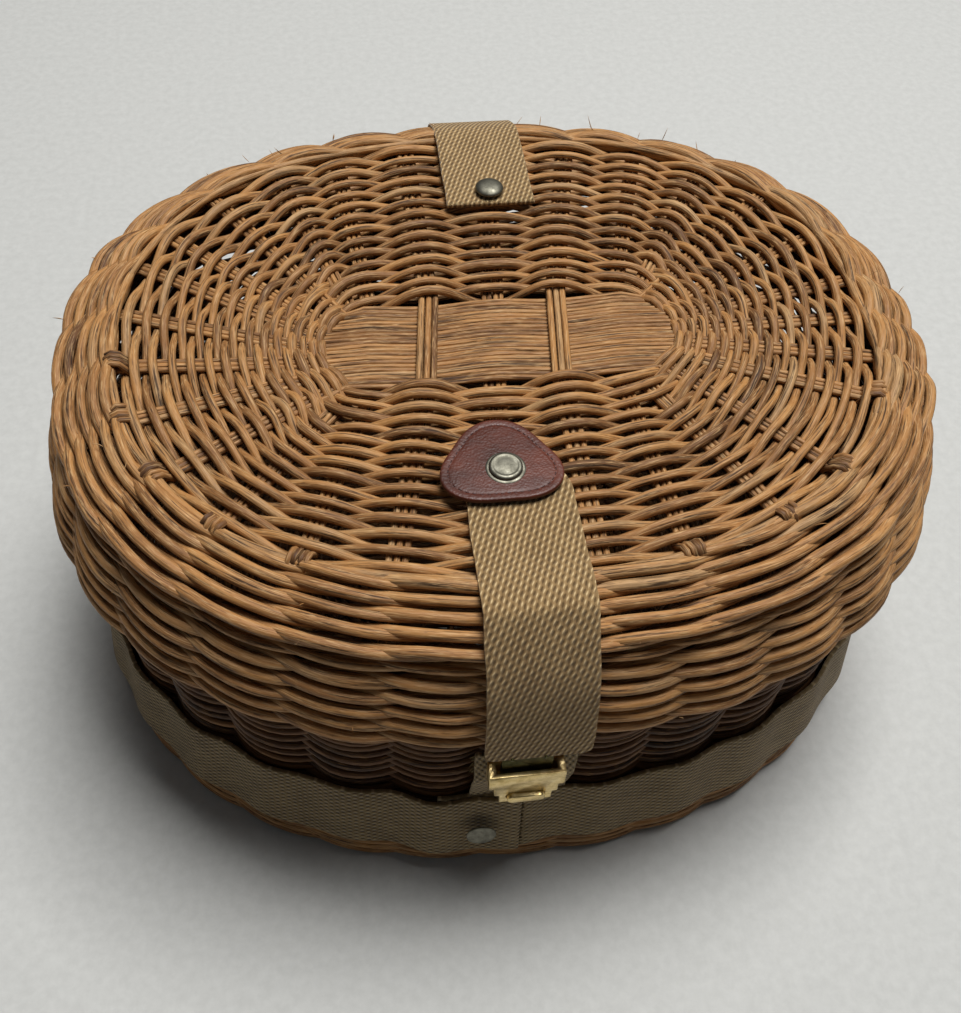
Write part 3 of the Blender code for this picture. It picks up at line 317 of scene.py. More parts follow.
def smooth_noise(count, knots, size):
    """A slow random curve of that many samples, between about -size and size, in three columns."""
    places = np.linspace(0, knots, count)
    values = chance.uniform(-size, size, (knots + 2, 3))
    low = np.minimum(places.astype(int), knots)
    part = (places - low)[:, None]
    part = part * part * (3 - 2 * part)
    return values[low] * (1 - part) + values[low + 1] * part


def rod_of(points, radius, wander=0.0, taper=0.0, tone=None, ends="tip"):
    """One rod for make_rods, with a little wander and taper; its ends are a tip or a flat cut."""
    points = np.asarray(points, float)
    length = float(np.sum(np.linalg.norm(np.diff(points, axis=0), axis=1)))
    knots = max(2, int(length / 14))
    points = points + smooth_noise(len(points), knots, wander)
    if ends == "cut":
        first = points[0] + (points[0] - points[1]) * 0.01
        last = points[-1] + (points[-1] - points[-2]) * 0.01
        points = np.vstack([first, points, last])
    count = len(points)
    radii = radius * np.linspace(1 + taper, 1 - taper, count)
    radii = radii * (1 + smooth_noise(count, knots, 0.05)[:, 0])
    for place, part in enumerate(TIP_TAPER if ends == "tip" else TIP_TAPER[:1]):
        if 2 * place < count - 1:
            radii[place] *= part
            radii[-1 - place] *= part
    if tone is None:
        tone = float(np.clip(chance.normal(0.48, 0.16), 0.02, 0.98))
    return points, radii, tone


# %% [markdown]
# ## The oval
#
# Basket, lid and every row follow one oval, a little squarer than an ellipse. The rows of the
# model keep a fixed distance outside it, so a place on the basket is given by how far out it is,
# how far round it is as a share of the whole turn, and its height. Shares are spread evenly by
# length, because a maker sets the stakes evenly, and share 0 is the middle of the front.

# %% The oval and places on it
HALF_LENGTH = 151.0
HALF_DEPTH = 125.5
POWER = 2.3


def oval(out, turn):
    """x and y on the line that lies `out` mm outside the oval, at an angle-like turn."""
    c, s = np.cos(turn), np.sin(turn)
    x = HALF_LENGTH * np.sign(c) * np.abs(c) ** (2 / POWER)
    y = HALF_DEPTH * np.sign(s) * np.abs(s) ** (2 / POWER)
    nx = np.sign(c) * np.abs(c) ** (2 - 2 / POWER) / HALF_LENGTH
    ny = np.sign(s) * np.abs(s) ** (2 - 2 / POWER) / HALF_DEPTH
    size = np.hypot(nx, ny)
    return x + out * nx / size, y + out * ny / size


FRONT_TURN = -math.pi / 2
turn_table = np.linspace(FRONT_TURN, FRONT_TURN + 2 * math.pi, 7201)


def lengths_at(out):
    """The length along the line `out` mm outside the oval, at each turn in turn_table."""
    xs, ys = oval(out, turn_table)
    return np.concatenate([[0], np.cumsum(np.hypot(np.diff(xs), np.diff(ys)))])


body_lengths = lengths_at(14.0)
BODY_LENGTH = float(body_lengths[-1])


def turn_at(share, lengths=body_lengths):
    """The oval's turn at a share of its length, from the middle of the front."""
    share = np.asarray(share, float)
    whole = np.floor(share)
    return np.interp((share - whole) * lengths[-1], lengths, turn_table) + whole * 2 * math.pi


print("length of the oval of stakes", round(BODY_LENGTH, 1), "mm")

# %% [markdown]
# ## Paired rows: rim and foot
#
# The thick rows round the mouth, the foot and the lid's border are paired: two rods go round
# together, one before each stake and one behind it, and change places between the stakes. Seen
# from outside, each float starts high at one crossing and ends low at the next, so a whole wall
# of rows leans the same way and the crossings stand in columns. Two strands that circle a common
# middle line, half a turn apart, give all of that.

# %% Paired rows
ROW_STEP = 3.4
TUCK = 0.38
BODY_STAKES = 30
FIRST_STAKE_X = -5.5


def body_turn(stake):
    """The oval's turn at a stake number of the basket's body, which may be a fraction."""
    return turn_at((stake + FIRST_STAKE_X * BODY_STAKES / BODY_LENGTH) / BODY_STAKES)


def tucked_cuts(stakes, inside, pieces):
    """Stake numbers where one rod ends and the next begins, all of them behind a stake."""
    first = 2 * int(chance.integers(0, stakes // 2)) + inside
    cuts = [first + 2 * round(stakes * k / pieces / 2) for k in range(pieces)]
    return cuts + [first + stakes]


def paired_row(out, height, normal, radius, swing, rise, turn_of, stakes, pieces=2, wander=0.25):
    """Two strands round the oval; normal is (outwards, up) of the surface that they cover."""
    rods = []
    n_out, n_up = normal
    for strand in (0, 1):
        cuts = tucked_cuts(stakes, 1 - strand, pieces)
        for a, b in zip(cuts, cuts[1:]):
            stretch = (b - a + 2 * TUCK) * BODY_LENGTH / stakes
            u = np.linspace(a - TUCK, b + TUCK, round(stretch / ROW_STEP))
            angle = math.pi * (u + strand)
            forward = np.cos(angle)
            forward = swing * forward * (1.18 - 0.18 * forward * forward)
            down = rise * np.sin(angle)
            turn = turn_of(u)
            x, y = oval(out + forward * n_out + down * n_up, turn)
            z = height + forward * n_up - down * n_out
            thick = radius * chance.normal(1.0, 0.06)
            rods.append(rod_of(np.column_stack([x, y, z]), thick, wander, 0.08))
    return rods


# %% Rim and foot rows
RIM_ROWS = [(23.3, 142.3), (25.9, 135.9), (28.1, 129.5), (29.5, 123.1), (30.5, 116.7)]
rim_rods = []
for out, height in RIM_ROWS:
    rim_rods += paired_row(out - 2.0, height, (0.963, 0.27), radius=2.15, swing=2.3, rise=0.95,
                           turn_of=body_turn, stakes=BODY_STAKES)
rim_rods += paired_row(19.8, 149.6, (0.94, 0.34), radius=1.45, swing=1.5, rise=0.7,
                       turn_of=body_turn, stakes=BODY_STAKES)
rim = make_rods("rim_rows", rim_rods, stained_willow, sides=10)
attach(rim, "basket")
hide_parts("rim_rod_thin", *[f"rim_rod_{k}" for k in range(1, 6)])

foot_rods = []
for out, height in [(26.3, 3.6), (26.5, 8.4), (26.3, 13.4)]:
    foot_rods += paired_row(out, height, (1.0, 0.0), radius=1.75, swing=1.6, rise=0.9,
                            turn_of=body_turn, stakes=BODY_STAKES)
foot = make_rods("foot_rows", foot_rods, stained_willow)
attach(foot, "basket")
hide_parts("foot_rod_1", "foot_rod_2", "foot_rod_3")

# %% [markdown]
# ## Wall
#
# Between the foot and the rim the wall is randed: single rods that pass before one stake and
# behind the next, each row opposite to the one below. The stakes are thick here, so the rows
# swing several millimetres in and out, and in the shade under the rim only their upper edges
# catch the light. Behind the thick rim rows the same weave goes on, flatter, up to the mouth,
# where a flat plait of three strands closes the edge. The plait shows when the lid is up.

# %% Wall rows and stakes
WALL_PROFILE = [(17.0, 151.0), (19.6, 142.3), (22.2, 135.9), (24.4, 129.5), (25.8, 123.1),
                (26.8, 116.7), (26.4, 110.7), (23.0, 84.0), (22.6, 56.7), (27.8, 19.0),
                (24.8, 16.3), (24.8, 3.0)]
WALL_TOP_ROW = 107.5
WALL_PITCH = 3.173
WALL_INSET = 5.6
WALL_SWING = 4.2
WALL_ROD_RADIUS = 1.76
WALL_ROW_STEP = 4.7
UPPER_INSET = 4.6
UPPER_SWING = 0.6
UPPER_ROD_RADIUS = 1.85
WALL_STAKE_RADIUS = 1.75

profile_heights = np.array([z for out, z in WALL_PROFILE][::-1])
profile_outs = np.array([out for out, z in WALL_PROFILE][::-1])


def wall_out(height):
    """How far out the wall's outer surface is at a height."""
    return np.interp(height, profile_heights, profile_outs)


def randed_row(row, height, inset, swing_size, radius):
    """One row of the wall, in front of a stake where row and stake number add up to even."""
    rods = []
    cuts = tucked_cuts(BODY_STAKES, (row + 1) % 2, 2)
    for a, b in zip(cuts, cuts[1:]):
        stretch = (b - a + 2 * TUCK) * BODY_LENGTH / BODY_STAKES
        u = np.linspace(a - TUCK, b + TUCK, int(stretch / WALL_ROW_STEP))
        swing = np.cos(math.pi * (u + row))
        out = wall_out(height) - inset + swing_size * swing * (1.15 - 0.15 * swing ** 2)
        x, y = oval(out, body_turn(u))
        line = np.column_stack([x, y, np.full(len(u), height)])
        rods.append(rod_of(line, radius * chance.normal(1.0, 0.06), 0.3, 0.08))
    return rods


wall_rods = []
for row in range(-1, 29):
    height = WALL_TOP_ROW - WALL_PITCH * row
    wall_rods += randed_row(row, height, WALL_INSET, WALL_SWING, WALL_ROD_RADIUS)
for row in range(-13, -1):
    height = WALL_TOP_ROW - WALL_PITCH * row
    wall_rods += randed_row(row, height, UPPER_INSET, UPPER_SWING, UPPER_ROD_RADIUS)
wall_heights = np.linspace(2.6, 148.0, 30)
for stake in range(BODY_STAKES):
    for side in (-WALL_STAKE_RADIUS, WALL_STAKE_RADIUS):
        turn = body_turn(stake + side * BODY_STAKES / BODY_LENGTH)
        x, y = oval(wall_out(wall_heights) - WALL_INSET, np.full(len(wall_heights), turn))
        wall_rods.append(rod_of(np.column_stack([x, y, wall_heights]), WALL_STAKE_RADIUS, 0.15))
# The wall's rods take the willow darkened by painted shade.
wall = make_rods("wall_weave", wall_rods, shade_darkened_willow)
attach(wall, "basket")
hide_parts("side_wall")

# %% Plaited edge of the mouth
PLAIT_OUT = 14.6
PLAIT_HEIGHT = 149.9
PLAIT_STITCHES = 46
plait_rods = []
plait_part = np.linspace(0, 1, 560)
for strand in range(3):
    angle = 2 * math.pi * (plait_part * PLAIT_STITCHES + strand / 3)
    x, y = oval(PLAIT_OUT + 2.5 * np.sin(angle), turn_at(plait_part))
    z = PLAIT_HEIGHT + 0.85 * np.sin(2 * angle)
    plait_rods.append(rod_of(np.column_stack([x, y, z]), 1.5, 0.1, tone=0.5))
plait = make_rods("mouth_plait", plait_rods, stained_willow)
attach(plait, "basket")

# %% [markdown]
# ## Lid: where its stakes run
#
# The lid starts from a long strip of straight rods, 21 side by side. Five bundles cross it, the
# second and fourth over it and the others under it, and all rods run on outwards as the stakes.
# The outer bundles and the ends of the strip leave as wide bundles that split in two after a few
# rows, so 20 bundles become 28 stakes. The stakes of a real lid are set by eye and drift, so their
# starts and ends are listed here one by one, counter-clockwise from the middle of the front.

# %% Lid stakes
LID_PLANE = 165.4
WEAVE_EDGE_OUT = -5.0
STAKE_STARTS = [(-5.5, -33.0), (20.3, -32.8), (43.8, -31.0), (50.4, -29.6), (60.5, -26.5),
                (65.3, -21.0), (68.3, -14.8), (69.4, -8.4), (68.4, -2.0), (65.6, 4.0),
                (61.0, 9.5), (56.6, 11.2), (50.0, 13.2), (25.4, 15.6), (0.0, 16.0),
                (-26.0, 15.5), (-49.6, 13.2), (-56.2, 11.2), (-61.0, 9.5), (-65.6, 4.0),
                (-68.4, -2.0), (-69.4, -8.4), (-68.3, -14.8), (-65.8, -21.0), (-61.6, -26.5),
                (-58.6, -28.8), (-52.0, -30.6), (-31.6, -32.4)]
STAKE_ENDS = [-0.016, 0.0225, 0.0592, 0.1035, 0.1414, 0.1897, 0.2150, 0.2403, 0.2654, 0.2997,
              0.3375, 0.3730, 0.4093, 0.4459, 0.4883, 0.5313, 0.5678, 0.6003, 0.6369, 0.6715,
              0.6965, 0.7290, 0.7617, 0.7944, 0.8297, 0.8668, 0.9044, 0.9411]
LID_STAKES = len(STAKE_ENDS)
SPLIT_PAIRS = [(2, 3), (4, 5), (9, 10), (11, 12), (16, 17), (18, 19), (23, 24), (25, 26)]
CROSS_STAKES = [0, 1, 2, 3, 11, 12, 13, 14, 15, 16, 17, 25, 26, 27]
HIGH_STAKES = [1, 13, 15, 27]
CROSS_LIFT = 1.9

stake_starts = np.array(STAKE_STARTS)
stake_turns = turn_at(np.array(STAKE_ENDS), lengths_at(WEAVE_EDGE_OUT))
stake_lifts = np.zeros(LID_STAKES)
stake_lifts[CROSS_STAKES] = -CROSS_LIFT
stake_lifts[HIGH_STAKES] = CROSS_LIFT
stake_spreads = np.full(LID_STAKES, 1.3)
stake_spreads[CROSS_STAKES] = 1.08
print("lid stakes", LID_STAKES, "at turns", np.round(np.degrees(stake_turns)).astype(int))

# %% [markdown]
# ## Lid: places between the stakes
#
# A row's place is given by how far it has gone from the strip to the border, and by its stake
# number. Between two stakes the line is read off smoothly through the neighbours, as a rod would
# bend, and the rows lie closer together near the strip's ends than near the border.


# %% Places on the lid
def catmull_rom(p0, p1, p2, p3, part):
    """The smooth curve through four points in a row, at a part from 0 to 1 of the way p1 to p2."""
    return 0.5 * (2 * p1 + (p2 - p0) * part + (2 * p0 - 5 * p1 + 4 * p2 - p3) * part ** 2
                  + (3 * p1 - p0 - 3 * p2 + p3) * part ** 3)


def smooth_between(values, u, period=0.0):
    """Values at whole stake numbers, read smoothly in between and repeated with a period."""
    low = np.floor(u).astype(int)
    part = u - low
    if values.ndim > 1:
        part = part[:, None]
    near = []
    for k in (-1, 0, 1, 2):
        rounds = (low + k) // len(values)
        if values.ndim > 1:
            rounds = rounds[:, None]
        near.append(values[(low + k) % len(values)] + period * rounds)
    return catmull_rom(*near, part)


def merged(values):
    """The same list with each pair that starts as one wide bundle replaced by its middle."""
    second = {b for a, b in SPLIT_PAIRS}
    first = dict(SPLIT_PAIRS)
    return np.array([(values[k] + values[first[k]]) / 2 if k in first else values[k]
                     for k in range(len(values)) if k not in second])


def fade(progress):
    """How much of the strip's ups and downs is left at that progress towards the border."""
    return np.clip(1 - progress / 0.8, 0, 1)


split_layout = (stake_starts, stake_turns, stake_lifts, stake_spreads)
wide_layout = tuple(merged(values) for values in split_layout)


def lid_place(layout, progress, u, swing=0.0):
    """Points of a row at a progress from 0, the strip, to 1, the border; swing lifts it."""
    starts, turns, lifts, spreads = layout
    begin = smooth_between(starts, u)
    x, y = oval(WEAVE_EDGE_OUT, smooth_between(turns, u, 2 * math.pi))
    share = progress ** smooth_between(spreads, u)
    z = LID_PLANE + fade(progress) * smooth_between(lifts, u) + swing
    flat = begin + (np.column_stack([x, y]) - begin) * share[:, None]
    return np.column_stack([flat, np.broadcast_to(z, x.shape)])


def border_turn(u):
    """The border's own stakes stand half way between the stakes of the weave."""
    return smooth_between(stake_turns, u - 0.5, 2 * math.pi)


# %% [markdown]
# ## Lid: border rows
#
# The border slopes down from the flat of the lid in five paired rows, like the rim's but thinner,
# with black gaps between them. At the rear the strap pulls the lid's edge down by 3 millimetres.

# %% Lid border rows
BORDER_ROWS = [(0.0, 169.5), (4.55, 167.0), (9.5, 164.5), (14.55, 161.6), (19.8, 158.1)]
REAR_DROP = 3.1
REAR_PULL = 1.7


def settle_rear(rods):
    """Lowers the rear of the lid's border and pulls it in, most at the middle of the rear."""
    settled = []
    for points, radii, tone in rods:
        amount = np.clip(points[:, 1] / HALF_DEPTH, 0, 1) ** 2
        moved = points.copy()
        moved[:, 2] -= REAR_DROP * amount
        moved[:, 1] -= REAR_PULL * amount
        settled.append((moved, radii, tone))
    return settled


border_rods = []
for out, height in BORDER_ROWS:
    border_rods += paired_row(out - 0.9, height - 1.6, (0.5, 0.867), radius=2.02, swing=2.2,
                              rise=0.8, turn_of=border_turn, stakes=LID_STAKES)
border_rods += paired_row(17.2, 155.2, (0.87, -0.5), radius=1.5, swing=0.8, rise=0.8,
                          turn_of=border_turn, stakes=LID_STAKES)
border = make_rods("lid_border_rows", settle_rear(border_rods), stained_willow, sides=10)
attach(border, "lid")
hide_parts(*[f"lid_rod_{k}" for k in range(1, 6)])

# %% [markdown]
# ## Lid: the weave
#
# Single rods, over one stake and under the next. The first rows take the wide bundles as one
# stake, and later rows take their halves apart. A row swings less where its stakes stand close.

# %% Lid weave
LID_ROWS = 27
WIDE_ROWS = 7
LID_SWING = 3.2
LID_ROW_STEP = 2.7
FULL_SWING_GAP = 20.0
WEAVER_RADIUS = 1.72
lid_rods = []
for row in range(LID_ROWS):
    progress = (row + 0.45) / LID_ROWS
    layout = wide_layout if row < WIDE_ROWS else split_layout
    stakes = len(layout[1])
    cuts = tucked_cuts(stakes, row % 2, 2)
    for a, b in zip(cuts, cuts[1:]):
        u = np.linspace(a - TUCK, b + TUCK, 900)
        lengths = lengths_along(lid_place(layout, progress, u))
        even = np.linspace(0, lengths[-1], int(lengths[-1] / LID_ROW_STEP))
        u = np.interp(even, lengths, u)
        here = lid_place(layout, progress, np.floor(u))
        there = lid_place(layout, progress, np.floor(u) + 1)
        gap = np.linalg.norm(here - there, axis=1)
        size = LID_SWING * np.clip(gap / FULL_SWING_GAP, 0.5, 1.0)
        size = np.convolve(np.pad(size, 6, mode="edge"), np.ones(13) / 13, mode="valid")
        swing = np.cos(math.pi * (u + row + 1))
        points = lid_place(layout, progress, u, size * swing * (1.15 - 0.15 * swing ** 2))
        lid_rods.append(rod_of(points, WEAVER_RADIUS * chance.normal(1.0, 0.07), 0.28, 0.06))
lid_weave = make_rods("lid_weave", settle_rear(lid_rods), stained_willow, sides=10)

# %% [markdown]
# ## Lid: strip and stakes
#
# The rods of the strip go on as end stakes, and the crossing rods as the other stakes, so each is
# one long rod from border to border. The strip is woven too: it dips under the two bundles that
# cross over it.

# %% Lid strip and stakes
BORDER_DIP = [(0.0, 164.6), (9.0, 160.3), (18.0, 155.6)]
END_RODS = (-2.15, 0.0, 2.15)
BUNDLES = {0: (-3.5, -1.2, 1.2, 3.5), 1: (-2.75, 0.0, 2.75), 13: (-2.75, 0.0, 2.75),
           14: (-3.5, -1.2, 1.2, 3.5), 15: (-2.75, 0.0, 2.75), 27: (-2.75, 0.0, 2.75)}
THICK_ROD = 1.3
THIN_ROD = 1.05
STRIP_MIDDLE = -8.5
STRIP_ROD_PITCH = 2.1


def stake_path(stake, side):
    """One rod of a stake, side mm to one side, from the strip out and down under the border."""
    start = stake_starts[stake]
    turn = stake_turns[stake]
    edge = np.array(oval(WEAVE_EDGE_OUT, turn))
    shares = np.linspace(0.0, 1.0, 24)
    along = (edge - start) / np.linalg.norm(edge - start)
    flat = start + (edge - start) * shares[:, None]
    z = LID_PLANE + stake_lifts[stake] * fade(shares ** (1 / stake_spreads[stake]))
    line = np.column_stack([flat, z])
    for out, height in BORDER_DIP:
        line = np.vstack([line, [*oval(out, turn), height]])
    line[:, :2] += side * np.array([-along[1], along[0]])
    return line


stake_rods = []
for front, rear in ((0, 14), (1, 13), (27, 15), (2, 12), (3, 11), (26, 16), (25, 17)):
    for side in BUNDLES.get(front, END_RODS):
        line = np.vstack([stake_path(front, side)[::-1], stake_path(rear, -side)])
        radius = THICK_ROD if front in HIGH_STAKES else THIN_ROD
        stake_rods.append(rod_of(line, radius, 0.15))
ends = list(zip((24, 23, 22, 21, 20, 19, 18), (4, 5, 6, 7, 8, 9, 10)))
for place, (left, right) in enumerate(ends):
    for number, side in enumerate(END_RODS):
        y = STRIP_MIDDLE + (3 * place + number - 10) * STRIP_ROD_PITCH
        xs = np.linspace(-52, 52, 40)
        across = -5.5 + 5.5 * (y + 33) / 49
        zs = LID_PLANE + 0.9 * np.cos(math.pi * (xs - across) / 26.6)
        strip = np.column_stack([xs, np.full(40, y), zs])
        line = np.vstack([stake_path(left, -side)[::-1], strip, stake_path(right, side)])
        stake_rods.append(rod_of(line, THIN_ROD + 0.03, 0.12))
lid_sticks = make_rods("lid_stakes", settle_rear(stake_rods), stained_willow)
for each in (lid_weave, lid_sticks):
    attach(each, "lid")
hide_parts("lid_panel")

# %% [markdown]
# ## Lid: the ring and its knots
#
# One plain rod runs round between weave and border. At nine stakes the bundle was bent up over it
# and cut off, which leaves a knot as wide as a fingertip.

# %% Ring and knots
RING_OUT = -2.6
RING_HEIGHT = 168.1
RING_RADIUS = 1.75
KNOT_STAKES = (2, 3, 4, 5, 22, 23, 24, 25, 26)
KNOT_PATH = [(-9.6, 163.4), (-7.6, 166.8), (-5.5, 169.5), (-2.8, 170.5), (-0.6, 169.2),
             (0.4, 166.8)]
KNOT_RADIUS = 1.14
ring_rods = []
for first in (0.18, 0.71):
    part = np.linspace(first - 0.01, first + 0.54, 200)
    x, y = oval(RING_OUT + 0.5 * np.sin(part * 44), turn_at(part))
    z = RING_HEIGHT + 0.4 * np.cos(part * 61)
    ring_rods.append(rod_of(np.column_stack([x, y, z]), RING_RADIUS, 0.2, 0.1, tone=0.72))
for stake in KNOT_STAKES:
    for side in (-3.1, -1.05, 1.05, 3.1):
        turn = stake_turns[stake]
        line = np.array([[*oval(out, turn), height] for out, height in KNOT_PATH])
        outward = line[-1, :2] - line[0, :2]
        outward /= np.linalg.norm(outward)
        line[:, :2] += side * np.array([-outward[1], outward[0]])
        line = line[: len(line) - int(chance.integers(0, 2))]
        dark = float(chance.uniform(0.0, 0.45))
        ring_rods.append(rod_of(line, KNOT_RADIUS, 0.35, ends="cut", tone=dark))
ring = make_rods("lid_ring_and_knots", settle_rear(ring_rods), stained_willow)
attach(ring, "lid")

# %% [markdown]
# ## Base
#
# The base is an oval mat of the same kind, flat on both faces. It shows only when the lid is up
# or the basket is turned over, so it is woven a little plainer, with rows that run from a
# straight middle out to the foot. It is packed tight, so that no light comes up through it.

# %% Base
BASE_ROWS = 36
BASE_EDGE_OUT = 22.5
BASE_HEIGHT = 3.4
base_rods = []


def base_corner(half_length, half_depth, turn):
    """A point of the base's straight middle in the direction of a turn."""
    x = half_length * np.sign(np.cos(turn)) * np.abs(np.cos(turn)) ** 0.7
    y = half_depth * np.sign(np.sin(turn)) * np.abs(np.sin(turn)) ** 0.7
    return x, y


for row in range(BASE_ROWS):
    progress = (row + 0.4) / BASE_ROWS
    u = np.linspace(0, BODY_STAKES + 2 * TUCK, 240)
    turn = body_turn(u)
    ox, oy = oval(BASE_EDGE_OUT, turn)
    ix, iy = base_corner(62, 26, turn)
    z = BASE_HEIGHT + 1.3 * np.cos(math.pi * (u + row))
    points = np.column_stack([ix + (ox - ix) * progress, iy + (oy - iy) * progress, z])
    base_rods.append(rod_of(points, 1.72, 0.15, 0.05))
for stake in range(BODY_STAKES):
    turn = float(body_turn(stake))
    ox, oy = oval(BASE_EDGE_OUT - 1, turn)
    ix, iy = base_corner(55, 22, turn)
    part = np.linspace(0, 1, 20)
    line = np.column_stack([ix + (ox - ix) * part, iy + (oy - iy) * part, np.full(20, BASE_HEIGHT)])
    base_rods.append(rod_of(line, 1.5, 0.1))
for k in range(19):
    line = np.column_stack([np.linspace(-66, 66, 30), np.full(30, -27 + 3 * k), np.full(30, 3.3)])
    base_rods.append(rod_of(line, 1.6, 0.15))
# The base takes the willow darkened by painted shade.
base = make_rods("base_weave", base_rods, shade_darkened_willow)
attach(base, "basket")
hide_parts("base_mat")

# %% [markdown]
# ## Stray fibres
#
# Handling lifts splinters and hairs of bark off the rods. They are thin, pale and few, and they
# break the outline of the lid and rim the way the real ones do.

# %% Stray fibres
FIBRES = 46
fibre_rods = {"lid": [], "basket": []}
for number in range(FIBRES):
    on_lid = number % 4 != 0
    share = float(chance.uniform(0, 1))
    out, height = (BORDER_ROWS if on_lid else RIM_ROWS)[int(chance.integers(0, 5))]
    x, y = oval(out + (1.4 if on_lid else 1.0), turn_at(share))
    ahead = np.array(oval(out, turn_at(share + 0.004))) - np.array(oval(out, turn_at(share)))
    ahead /= np.linalg.norm(ahead)
    length = float(chance.uniform(3.0, 9.0))
    steps = np.linspace(0, 1, 6)
    lean = float(chance.uniform(-0.5, 0.9))
    outward = np.array([ahead[1], -ahead[0]])
    curl = float(chance.uniform(-0.8, 0.8))
    line = np.zeros((6, 3))
    line[:, 0] = x + length * (ahead[0] * steps * lean + outward[0] * (steps ** 1.5) * 0.5)
    line[:, 1] = y + length * (ahead[1] * steps * lean + outward[1] * (steps ** 1.5) * 0.5)
    line[:, 2] = height + 0.6 + length * (0.45 * steps + 0.5 * curl * steps ** 2)
    fibre_rods["lid" if on_lid else "basket"].append(
        rod_of(line, float(chance.uniform(0.12, 0.26)), tone=float(chance.uniform(0.5, 0.95))))
for body, rods in fibre_rods.items():
    fibres = make_rods(f"{body}_fibres", settle_rear(rods) if body == "lid" else rods,
                       stained_willow, sides=6)
    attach(fibres, body)

# %% [markdown]
# ## Webbing
#
# The belt and the straps are cotton webbing, a flat tape of thick yarn. The yarn shows as short
# raised floats, with a painted highlight on their tops and painted shade in the gaps between them.
# Two sine waves that cross give such a lattice. Their product has staggered floats in rows, which
# is the belt's plain weave.
# Their sum has one float to a cell, in slanting lines, which is the straps' twill. The UV map is
# in millimetres across and along, so the pattern follows every bend at its real size.


# %% Webbing material
WEB_WIDTH = 38.1
WEB_THICK = 1.9
TWILL_SLOPE = 0.55
TWILL_SHARE = 0.73
BEAD_SHARE = 0.27


def webbing(name, light, dark, highlight_colour, gap, across_mm, along_mm, slant, gap_shade_reach, twill):
    """Webbing: yarn floats on an across_mm by along_mm lattice, plain or twill; painted highlight and
    gap shade.
    """
    made, tree, shader = new_material(name, roughness=0.9)
    place = add(tree, "ShaderNodeUVMap", uv_map="UVMap").outputs[0]
    parts = add(tree, "ShaderNodeSeparateXYZ", links=[("Vector", place)])
    wobble = noise(tree, place, (5.0, 5.0, 5.0), 2.0)
    across = calculate(tree, "MULTIPLY_ADD", parts.outputs[1], slant, parts.outputs[0])
    across = calculate(tree, "MULTIPLY_ADD", wobble, 1.0, across)
    along = calculate(tree, "MULTIPLY_ADD", wobble, 0.8, parts.outputs[1])
    if twill:
        along = calculate(tree, "MULTIPLY_ADD", parts.outputs[0], TWILL_SLOPE, along)
    wave_a = calculate(tree, "SINE", calculate(tree, "MULTIPLY", across, 2 * math.pi / across_mm))
    wave_b = calculate(tree, "SINE", calculate(tree, "MULTIPLY", along, 2 * math.pi / along_mm))
    if twill:
        beads = calculate(tree, "MULTIPLY", wave_b, BEAD_SHARE)
        lattice = calculate(tree, "MULTIPLY_ADD", wave_a, TWILL_SHARE, beads)
    else:
        lattice = calculate(tree, "MULTIPLY", wave_a, wave_b)
    fluff = noise(tree, place, (0.5, 0.5, 0.5), 4.0, 0.7)
    height = calculate(tree, "MULTIPLY_ADD", fluff, 0.7, lattice)
    wear = noise(tree, place, (9.0, 12.0, 9.0), 5.0)
    cloth = ramp(tree, wear, [(0.3, dark), (0.7, light)])
    # The selvedge is plain doubled yarn, so no painted gap shade is put in its outermost millimetre.
    other_side = calculate(tree, "SUBTRACT", WEB_WIDTH, parts.outputs[0])
    inside = calculate(tree, "MULTIPLY", parts.outputs[0], other_side)
    gap_shade_zone = between(tree, inside, 8.0, 38.0, 0.0, 1.0)
    # Painted shade darkens the low gaps between the floats, and a painted highlight lightens their
    # tops.
    low = between(tree, height, 0.35 - 0.9 * gap_shade_reach, -0.35 - 0.3 * gap_shade_reach, 0.0, 0.82)
    gap_shaded = blend_colours(tree, calculate(tree, "MULTIPLY", low, gap_shade_zone), cloth, gap)
    highlighted = blend_colours(tree, between(tree, height, 0.75, 1.3, 0.0, 0.85), gap_shaded, highlight_colour)
    tree.links.new(highlighted, shader.inputs["Base Color"])
    shader.inputs["Sheen Weight"].default_value = 0.15
    shader.inputs["Specular IOR Level"].default_value = 0.2
    bump(tree, shader, height, 0.45, 0.8)
    return made


# In each call the fourth colour is the painted highlight on float tops, the fifth the painted gap
# shade.
strap_cotton = webbing("khaki_cotton_strap_twill", "#a08258", "#866a45", "#d6bb8c", "#4c3921",
                       2.1, 2.5, 0.36, 0.2, True)
belt_cotton = webbing("worn_khaki_belt_webbing", "#8e7955", "#705d40", "#b39d76", "#160f07",
                      2.6, 4.8, 0.12, 0.3, False)
print("materials", strap_cotton.name, belt_cotton.name)

# %% [markdown]
# ## Laying webbing
#
# A strap is a grid laid along its line. Solidify gives it the tape's thickness, and Bevel the soft
# edge of its selvedge. The front strap and the hinge strap cross a hinge, so they are kept in
# place in the world and go with neither body.

# %% Laying webbing
def soft_edge(piece, width, angle):
    """A bevel of width mm on the edges of a piece that are sharper than angle degrees."""
    edge = piece.modifiers.new("soft edge", "BEVEL")
    edge.width = width * MM
    edge.segments = 2
    edge.limit_method = "ANGLE"
    edge.angle_limit = math.radians(angle)
    return edge


